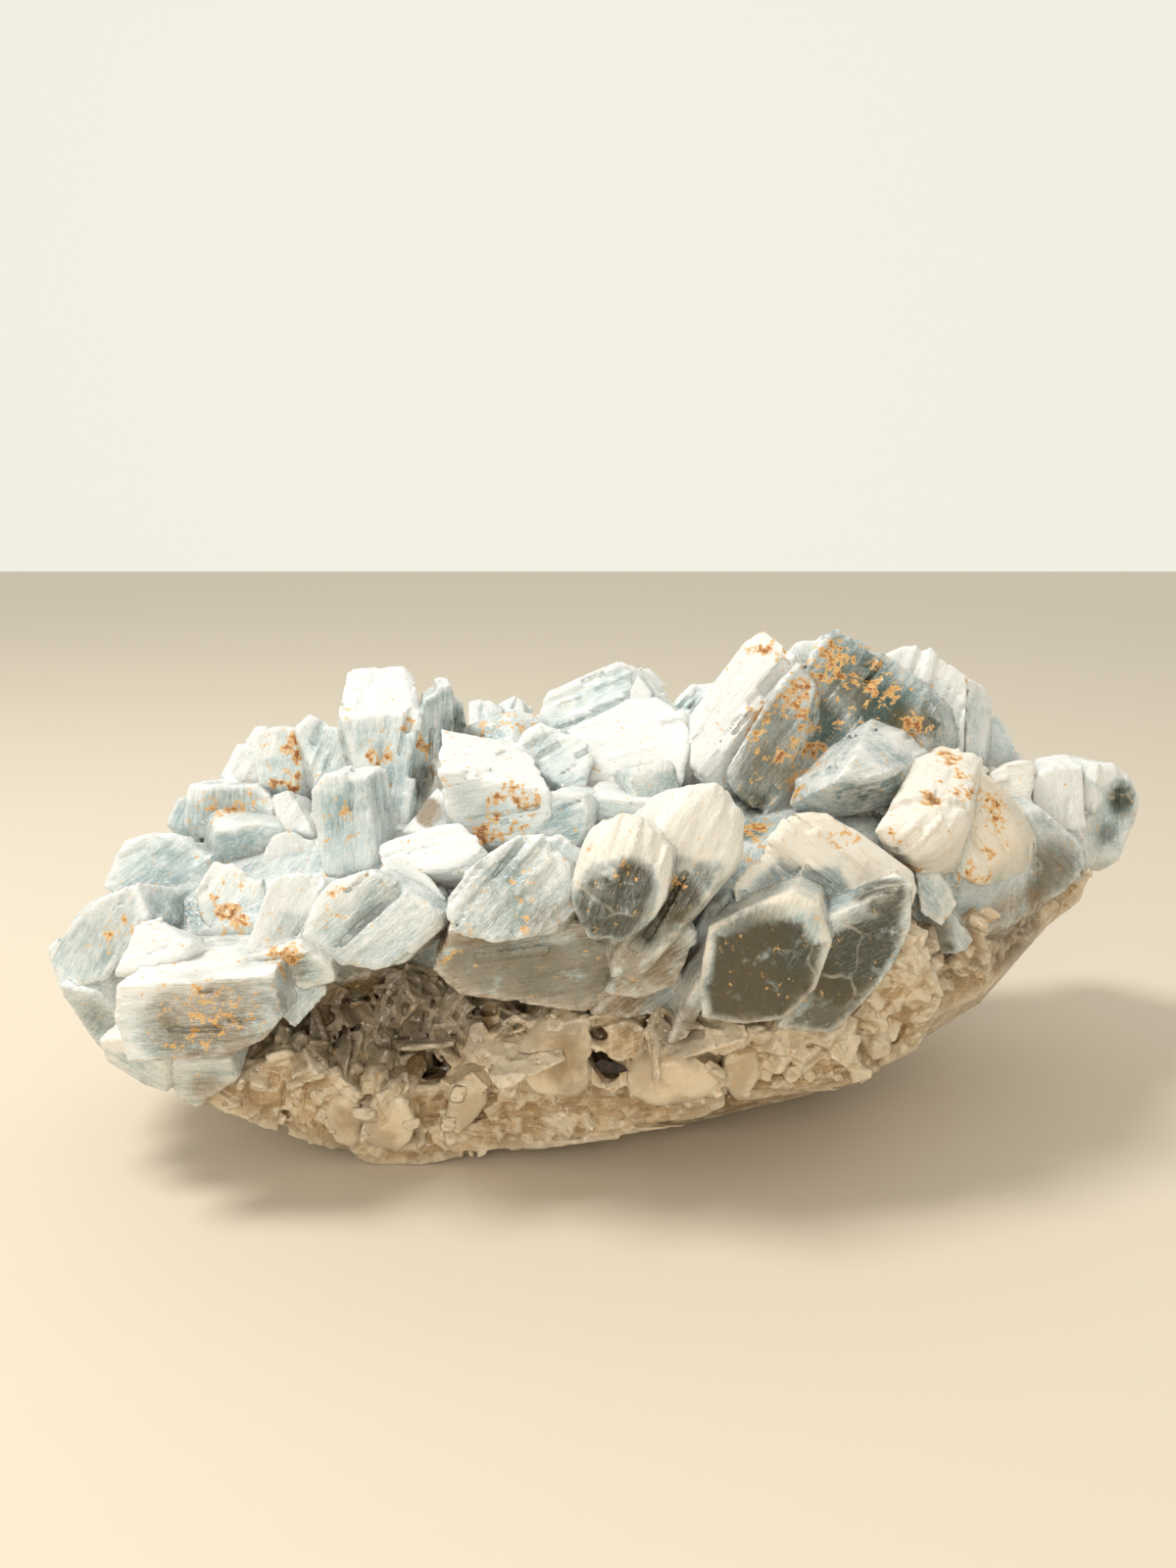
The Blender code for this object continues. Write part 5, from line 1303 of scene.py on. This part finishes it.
class Nodes:
    """Builds a node tree, a call for each node."""

    def __init__(self, material):
        material.use_nodes = True
        self.tree = material.node_tree
        self.surface = self.tree.nodes["Principled BSDF"]

    def set(self, socket, value):
        if isinstance(value, bpy.types.NodeSocket):
            self.tree.links.new(value, socket)
        elif isinstance(value, tuple) and len(value) == 3 and socket.type == "RGBA":
            socket.default_value = (*value, 1)
        else:
            socket.default_value = value

    def attribute(self, name, output="Fac"):
        node = self.tree.nodes.new("ShaderNodeAttribute")
        node.attribute_name = name
        return node.outputs[output]

    def position(self):
        node = self.tree.nodes.new("ShaderNodeTexCoord")
        return node.outputs["Object"]

    def noise(self, vector, scale, detail=4.0, roughness=0.55):
        node = self.tree.nodes.new("ShaderNodeTexNoise")
        self.set(node.inputs["Vector"], vector)
        node.inputs["Scale"].default_value = scale
        node.inputs["Detail"].default_value = detail
        node.inputs["Roughness"].default_value = roughness
        return node.outputs["Fac"]

    def cracks(self, vector, scale):
        """How far it is to the nearest wall between cells."""
        node = self.tree.nodes.new("ShaderNodeTexVoronoi")
        node.feature = "DISTANCE_TO_EDGE"
        self.set(node.inputs["Vector"], vector)
        node.inputs["Scale"].default_value = scale
        return node.outputs["Distance"]

    def math(self, operation, first, second):
        node = self.tree.nodes.new("ShaderNodeMath")
        node.operation = operation
        node.use_clamp = True
        self.set(node.inputs[0], first)
        self.set(node.inputs[1], second)
        return node.outputs["Value"]

    def times(self, first, second):
        return self.math("MULTIPLY", first, second)

    def plus(self, first, second):
        return self.math("ADD", first, second)

    def less(self, first, second):
        return self.math("SUBTRACT", first, second)

    def cells(self, vector, scale):
        """Grains that fill the space: how far it is to the middle of the nearest one, and a value of its
        own."""
        node = self.tree.nodes.new("ShaderNodeTexVoronoi")
        self.set(node.inputs["Vector"], vector)
        node.inputs["Scale"].default_value = scale
        return node.outputs["Distance"], node.outputs["Color"]

    def bent(self, vector):
        """The place shifted by noise, so that what is drawn there runs crookedly."""
        node = self.tree.nodes.new("ShaderNodeTexNoise")
        self.set(node.inputs["Vector"], vector)
        node.inputs["Scale"].default_value = 110
        shift = self.tree.nodes.new("ShaderNodeVectorMath")
        shift.operation = "MULTIPLY_ADD"
        self.set(shift.inputs[0], node.outputs["Color"])
        shift.inputs[1].default_value = (0.008, 0.008, 0.008)
        self.set(shift.inputs[2], vector)
        return shift.outputs["Vector"]

    def ramp(self, value, low, high):
        """The value rescaled so that low becomes 0 and high becomes 1."""
        node = self.tree.nodes.new("ShaderNodeMapRange")
        node.interpolation_type = "SMOOTHSTEP"
        self.set(node.inputs["Value"], value)
        node.inputs["From Min"].default_value = low
        node.inputs["From Max"].default_value = high
        return node.outputs["Result"]

    def mix(self, share, first, second):
        node = self.tree.nodes.new("ShaderNodeMix")
        node.data_type = "RGBA"
        self.set(node.inputs["Factor"], share)
        self.set(node.inputs[6], first)
        self.set(node.inputs[7], second)
        return node.outputs[2]

    def bump(self, height, distance, strength, normal=None):
        node = self.tree.nodes.new("ShaderNodeBump")
        self.set(node.inputs["Height"], height)
        node.inputs["Distance"].default_value = distance
        node.inputs["Strength"].default_value = strength
        if normal:
            self.set(node.inputs["Normal"], normal)
        return node.outputs["Normal"]


# Colours of the minerals, as light they give back (linear red, green, blue)
PALE_BLUE = (0.70, 0.81, 0.83)
MID_BLUE = (0.37, 0.51, 0.54)
SHADE_BLUE = (0.27, 0.41, 0.44)
# Teal of painted shade, for faces and places that lie in shade
TEAL_SHADE = (0.035, 0.08, 0.065)
CORE_GREY = (0.038, 0.044, 0.026)
CORE_BROWN = (0.09, 0.066, 0.024)
CHALK = (0.90, 0.92, 0.91)
CREAM = (0.90, 0.80, 0.64)
ORANGE = (0.84, 0.49, 0.17)
RUST = (0.38, 0.14, 0.03)
# Warm brown: the matrix's own darker tone, also used for painted warm shade under overhangs and in creases
WARM_BROWN = (0.21, 0.12, 0.03)
BEIGE = (0.93, 0.70, 0.41)
TAN = (0.47, 0.30, 0.135)
# Pale tone of the matrix crystals and their fracture lines, also used for painted highlights on edges and
# rims
PALE_AND_HIGHLIGHT = (0.96, 0.85, 0.66)
# Brown of painted shade in crevices and hollows
BROWN = (0.075, 0.04, 0.012)
NEAR_BLACK = (0.006, 0.004, 0.004)
DARK_RED = (0.05, 0.02, 0.012)
BARITE_IOR = 1.64


def stains(n, place, colour, amount):
    """Iron stain in small flecks: orange, with rust where it is thickest."""
    patches = n.ramp(n.noise(place, 230, 2), 0.36, 0.6)
    level = n.plus(n.noise(place, 640, 5, 0.68), n.times(n.times(amount, patches), 0.22))
    level = n.plus(level, n.times(n.attribute("Crevice"), 0.03))
    colour = n.mix(n.times(n.ramp(level, 0.635, 0.67), 0.9), colour, ORANGE)
    return n.mix(n.ramp(level, 0.72, 0.79), colour, RUST)


def blue_material():
    made = bpy.data.materials.new("blue barite")
    n = Nodes(made)
    place = n.position()
    own = n.attribute("Grain", "Vector")
    clouds = n.noise(place, 95, 3)
    blots = n.noise(place, 240, 5, 0.62)
    fibre = n.noise(own, 1.1, 3, 0.6)
    strokes = n.noise(own, 3.2, 2, 0.6)
    specks = n.noise(place, 1400, 2, 0.6)
    colour = n.mix(n.ramp(clouds, 0.34, 0.60), SHADE_BLUE, PALE_BLUE)
    colour = n.mix(n.ramp(blots, 0.38, 0.6), n.mix(0.6, colour, MID_BLUE), colour)
    colour = n.mix(n.times(n.ramp(fibre, 0.5, 0.72), 0.35), colour, CHALK)
    # Painted shade: deep teal where places lie in shade
    dark = n.times(n.attribute("Dark"), n.ramp(clouds, 0.15, 0.45))
    colour = n.mix(dark, colour, TEAL_SHADE)
    core = n.times(n.attribute("Core"), n.ramp(blots, 0.2, 0.44))
    colour = n.mix(core, colour, n.mix(n.attribute("Warm"), CORE_GREY, CORE_BROWN))
    veins = n.times(n.ramp(n.cracks(n.bent(place), 70), 0.03, 0.0), n.ramp(clouds, 0.42, 0.6))
    colour = n.mix(n.times(n.times(veins, core), 0.4), colour, CREAM)
    # Painted warm bounce light and shade: warm brown on the lower parts and undersides of the blue crystals
    warm = n.times(n.attribute("Warm"), n.ramp(blots, 0.24, 0.48))
    colour = n.mix(n.times(n.times(warm, n.less(1.0, core)), 0.9), colour, WARM_BROWN)
    shaded = n.plus(n.times(core, 0.8), n.plus(n.times(dark, 0.8), n.times(n.attribute("Warm"), 0.6)))
    plain = n.less(1.0, shaded)
    # White skin, whitened on jutting edges: partly chalk, partly painted highlight
    skin = n.plus(n.attribute("White"), n.times(n.attribute("Edge"), 0.3))
    skin = n.less(skin, n.times(n.attribute("Warm"), 0.5))
    skin = n.less(skin, n.times(n.attribute("Core"), 0.9))
    patchy = n.plus(n.times(skin, 0.9), n.less(blots, 0.5))
    white = n.ramp(patchy, 0.3, 0.85)
    chalk = n.mix(n.attribute("Cream"), CHALK, CREAM)
    colour = n.mix(white, colour, chalk)
    # Pale rims along the crystal edges: partly real white rims, partly painted highlight
    rim = n.times(n.attribute("Rim"), n.ramp(n.noise(place, 500, 2), 0.35, 0.6))
    colour = n.mix(n.times(rim, 0.6), colour, chalk)
    # Frost near the edges: partly real white frosting, partly painted glow of lit translucent edges
    frost_and_glow = n.ramp(n.plus(n.times(fibre, 0.6), n.times(clouds, 0.4)), 0.4, 0.56)
    frost_and_glow = n.times(n.times(n.attribute("Frost"), plain), frost_and_glow)
    colour = n.mix(n.times(frost_and_glow, 0.6), colour, chalk)
    colour = n.mix(n.times(plain, n.times(n.ramp(strokes, 0.52, 0.64), 0.5)), colour, CHALK)
    colour = n.mix(n.times(n.ramp(strokes, 0.42, 0.32), 0.3), colour, n.mix(0.5, colour, CORE_GREY))
    # Painted glints: tiny white flecks where the glassy faces would sparkle
    colour = n.mix(n.times(plain, n.times(n.ramp(specks, 0.58, 0.70), 0.25)), colour, CHALK)
    colour = stains(n, place, colour, n.attribute("Stain"))
    # Painted shade: warm brown where painted shade meets the white skin, as along the crease under the white
    # lobe
    crease = n.ramp(n.times(n.attribute("Dark"), white), 0.25, 0.7)
    colour = n.mix(n.times(crease, 0.8), colour, WARM_BROWN)
    # Painted shade: brown in crevices
    colour = n.mix(n.times(n.attribute("Crevice"), 0.4), colour, BROWN)
    n.set(n.surface.inputs["Base Color"], colour)
    rough = n.plus(n.times(white, 0.35), n.times(n.ramp(specks, 0.3, 0.7), 0.2))
    n.set(n.surface.inputs["Roughness"], n.plus(rough, 0.14))
    n.surface.inputs["IOR"].default_value = BARITE_IOR
    n.surface.inputs["Transmission Weight"].default_value = 0.05
    shape = n.bump(fibre, 0.0006, 0.5)
    shape = n.bump(n.plus(n.times(strokes, 0.6), n.times(specks, 0.3)), 0.0004, 0.5, shape)
    n.set(n.surface.inputs["Normal"], shape)
    return made


def matrix_material():
    made = bpy.data.materials.new("pale matrix")
    n = Nodes(made)
    place = n.position()
    own = n.attribute("Grain", "Vector")
    crooked = n.bent(place)
    clouds = n.noise(place, 120, 3)
    fine = n.noise(place, 900, 3, 0.65)
    fibre = n.noise(own, 1.6, 3, 0.6)
    height, tone = n.cells(crooked, 260)
    uneven = n.less(1.0, n.times(n.ramp(n.attribute("White"), 0.9, 1.0), 0.75))
    clear = n.plus(n.times(clouds, 0.5), n.times(n.attribute("White"), 0.3))
    clear = n.plus(clear, n.times(n.times(uneven, tone), 0.35))
    clear = n.plus(clear, n.times(n.attribute("Cream"), 0.2))
    colour = n.mix(n.ramp(clear, 0.34, 0.74), TAN, BEIGE)
    colour = n.mix(n.times(n.ramp(n.noise(place, 420, 3, 0.7), 0.52, 0.66), 0.45), colour, PALE_AND_HIGHLIGHT)
    veins = n.times(n.ramp(n.cracks(crooked, 120), 0.05, 0.0), n.ramp(clouds, 0.4, 0.6))
    colour = n.mix(n.times(veins, 0.5), colour, PALE_AND_HIGHLIGHT)
    light = n.times(uneven, n.ramp(fibre, 0.52, 0.75))
    colour = n.mix(n.times(light, 0.5), colour, PALE_AND_HIGHLIGHT)
    shade = n.times(uneven, n.ramp(fibre, 0.46, 0.3))
    colour = n.mix(n.times(shade, 0.65), colour, WARM_BROWN)
    # Warm brown low down and under overhangs: partly the matrix's own brown, partly painted bounce light and
    # shade
    warm = n.times(n.attribute("Warm"), n.ramp(clouds, 0.75, 0.45))
    colour = n.mix(n.times(warm, 0.8), colour, WARM_BROWN)
    # Painted highlight: pale jutting edges and rims on the matrix
    colour = n.mix(n.times(n.attribute("Edge"), 0.45), colour, PALE_AND_HIGHLIGHT)
    colour = n.mix(n.times(n.attribute("Rim"), 0.7), colour, PALE_AND_HIGHLIGHT)
    smooth = n.less(1.0, uneven)
    # Painted highlight: pale glow round the edges of the smooth crystals
    colour = n.mix(n.times(smooth, n.times(n.attribute("Frost"), 0.8)), colour, PALE_AND_HIGHLIGHT)
    colour = n.mix(n.times(n.times(smooth, n.ramp(clouds, 0.58, 0.38)), 0.5), colour, WARM_BROWN)
    colour = n.mix(n.times(n.times(uneven, n.ramp(fine, 0.6, 0.7)), 0.5), colour, CREAM)
    colour = n.mix(n.times(n.times(uneven, n.ramp(fine, 0.42, 0.3)), 0.4), colour, WARM_BROWN)
    # Painted shade: brown in crevices
    colour = n.mix(n.times(n.attribute("Crevice"), 0.85), colour, BROWN)
    # Painted shade: brown in the hollows between the crystals of the matrix
    colour = n.mix(n.attribute("Dark"), colour, BROWN)
    colour = stains(n, place, colour, n.times(n.attribute("Stain"), 0.6))
    n.set(n.surface.inputs["Base Color"], colour)
    n.set(n.surface.inputs["Roughness"], n.plus(n.times(fine, 0.3), 0.04))
    n.surface.inputs["IOR"].default_value = BARITE_IOR
    n.surface.inputs["Transmission Weight"].default_value = 0.2
    shape = n.bump(n.times(uneven, height), 0.0014, 0.9)
    shape = n.bump(fine, 0.0003, 0.5, shape)
    n.set(n.surface.inputs["Normal"], shape)
    return made


def grain_material():
    made = bpy.data.materials.new("dark grain")
    n = Nodes(made)
    place = n.position()
    rough = n.noise(place, 1200, 4)
    n.set(n.surface.inputs["Base Color"], n.mix(n.ramp(rough, 0.4, 0.7), NEAR_BLACK, DARK_RED))
    n.set(n.surface.inputs["Roughness"], n.plus(n.times(rough, 0.4), 0.2))
    n.set(n.surface.inputs["Normal"], n.bump(rough, 0.0004, 0.6))
    return made


# The stage, in metres and watts: a floor, a glowing wall behind it, a sky, and two lights that point at the
# middle of the specimen
FLOOR_HALF = 3.0
SKY_STRENGTH = 0.66
WALL_STRENGTH = 1.0
WALL_PLACE = 1.6
KEY_POWER = 5.8
FILL_POWER = 2.8
LIT_SPOT = Vector((0, 0, 0.05))
FLOOR_COLOUR = (0.74, 0.66, 0.54)
WALL_COLOUR = (0.863, 0.839, 0.761)


def set_camera():
    """The camera stands where the photograph was taken from, and takes in as much as it does."""
    data = bpy.data.cameras.new("camera")
    camera = in_scene("camera", data)
    data.sensor_width = SENSOR
    data.lens = FOCAL_PIXELS / PICTURE_HEIGHT * SENSOR
    data.clip_start = 0.01
    camera.location = VIEW_FROM * MM
    camera.rotation_euler = (math.pi / 2 - VIEW_PITCH, 0, 0)
    bpy.context.scene.camera = camera


def add_light(name, place, size, power, colour):
    data = bpy.data.lights.new(name, "AREA")
    data.shape = "DISK"
    data.size = size
    data.energy = power
    data.color = colour
    light = in_scene(name, data)
    light.location = place
    light.rotation_euler = (LIT_SPOT - Vector(place)).to_track_quat("-Z", "Y").to_euler()


def set_stage():
    mesh = bpy.data.meshes.new("floor")
    shape = bmesh.new()
    bmesh.ops.create_grid(shape, x_segments=1, y_segments=1, size=FLOOR_HALF)
    shape.to_mesh(mesh)
    shape.free()
    floor = in_scene("floor", mesh)
    paint = bpy.data.materials.new("floor")
    n = Nodes(paint)
    n.set(n.surface.inputs["Base Color"], FLOOR_COLOUR)
    n.surface.inputs["Roughness"].default_value = 0.7
    mesh.materials.append(paint)
    wall = in_scene("wall", mesh.copy())
    wall.location = (0, WALL_PLACE, 0)
    wall.rotation_euler = (math.pi / 2, 0, 0)
    glow = bpy.data.materials.new("wall")
    n = Nodes(glow)
    n.set(n.surface.inputs["Base Color"], (0.0, 0.0, 0.0))
    n.set(n.surface.inputs["Emission Color"], WALL_COLOUR)
    n.surface.inputs["Emission Strength"].default_value = WALL_STRENGTH
    wall.data.materials[0] = glow
    world = bpy.data.worlds.new("studio")
    bpy.context.scene.world = world
    world.use_nodes = True
    sky = world.node_tree.nodes["Background"]
    sky.inputs["Color"].default_value = (*WALL_COLOUR, 1)
    sky.inputs["Strength"].default_value = SKY_STRENGTH
    add_light("window", (-0.45, -0.06, 0.88), 0.30, KEY_POWER, (1.0, 0.98, 0.93))
    add_light("soft box", (-0.10, -0.92, 0.42), 0.50, FILL_POWER, (1.0, 0.91, 0.78))
    bpy.context.scene.view_settings.view_transform = "Standard"


set_camera()
set_stage()

back_draw = random.Random(17)
back = []
for n, points in enumerate(back_crystals(random.Random(5))):
    look = Look(white=back_draw.uniform(0.05, 0.8), stain=2.4 * back_draw.random() ** 3,
                cream=back_draw.uniform(0, 0.4), teal=back_draw.uniform(0, 0.3),
                layers=back_draw.uniform(0.2, 1.0))
    back.append(make_solid("hidden%d" % n, points, look))
chip_points = matrix_chips(random.Random(11))
chips = [make_solid("chip%d" % n, points, MATRIX_LOOK) for n, points in enumerate(chip_points)]
left, centre, right = crystal_solids(LEFT_END), crystal_solids(CENTRE), crystal_solids(RIGHT_END)
matrix_front = crystal_solids(MATRIX_FRONT, MATRIX_LOOK)
blue_bed, matrix_bed = bed_solids(CRYSTAL_BED, BED_LOOK), bed_solids(MATRIX_BED, MATRIX_LOOK)
blue_solids = left + centre + right + back + blue_bed
stone_solids = matrix_front + chips + matrix_bed

# The coarse bodies, and how full the surroundings of each place are
BLUE = coarse_grid(blue_solids)
STONE = coarse_grid(stone_solids)
WHOLE = coarse_grid(blue_solids + stone_solids)
CAVITY = Grid(WHOLE.low, WHOLE.low, COARSE_PITCH, 0)
CAVITY.values = blurred((WHOLE.values < 0).astype(np.float32), 2)
shards = fragments("matrix", STONE, BLUE, np.random.default_rng(21))
crumbs = fragments("blue", BLUE, STONE, np.random.default_rng(22))
front_shards, back_shards = split(shards, 1, SHARD_SPLIT)
front_crumbs, back_crumbs = split(crumbs, 1, CRUMB_SPLIT)
left_crumbs, other_crumbs = split(front_crumbs, 0, LEFT_SPLIT)
centre_crumbs, right_crumbs = split(other_crumbs, 0, RIGHT_SPLIT)
grain_solid = make_solid("grain", grain_points(), Look(ridges=0.5, layers=0))
groups = [
    Group("blue_crystals_left", left, left_crumbs, FRONT_PITCH, 185000, "blue_crystals"),
    Group("blue_crystals_centre", centre, centre_crumbs, FRONT_PITCH, 185000, "blue_crystals"),
    Group("blue_crystals_right", right, right_crumbs, FRONT_PITCH, 195000, "blue_crystals"),
    Group("blue_crystals_back", back + blue_bed, back_crumbs, HIDDEN_PITCH, 130000, "blue_crystals"),
    Group("pale_matrix_front", matrix_front, front_shards, FRONT_PITCH, 190000, "pale_matrix"),
    Group("dark_grain_crystal", [grain_solid], [], GRAIN_PITCH, 4000, "dark_grain"),
    Group("pale_matrix_base", matrix_bed + chips, back_shards, HIDDEN_PITCH, 110000, "pale_matrix"),
]
materials = {
    "blue_crystals": blue_material(),
    "pale_matrix": matrix_material(),
    "dark_grain": grain_material(),
}
for group in groups:
    made = mesh_object(group.name, *surface_of(group))
    thin_out(made, group.most)
    made.data.set_sharp_from_angle(angle=SHARP_ANGLE)
    dress(made, mesh_points(made), group)
    made.data.materials.append(materials[group.node])
    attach(made, "root")
    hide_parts(group.node)
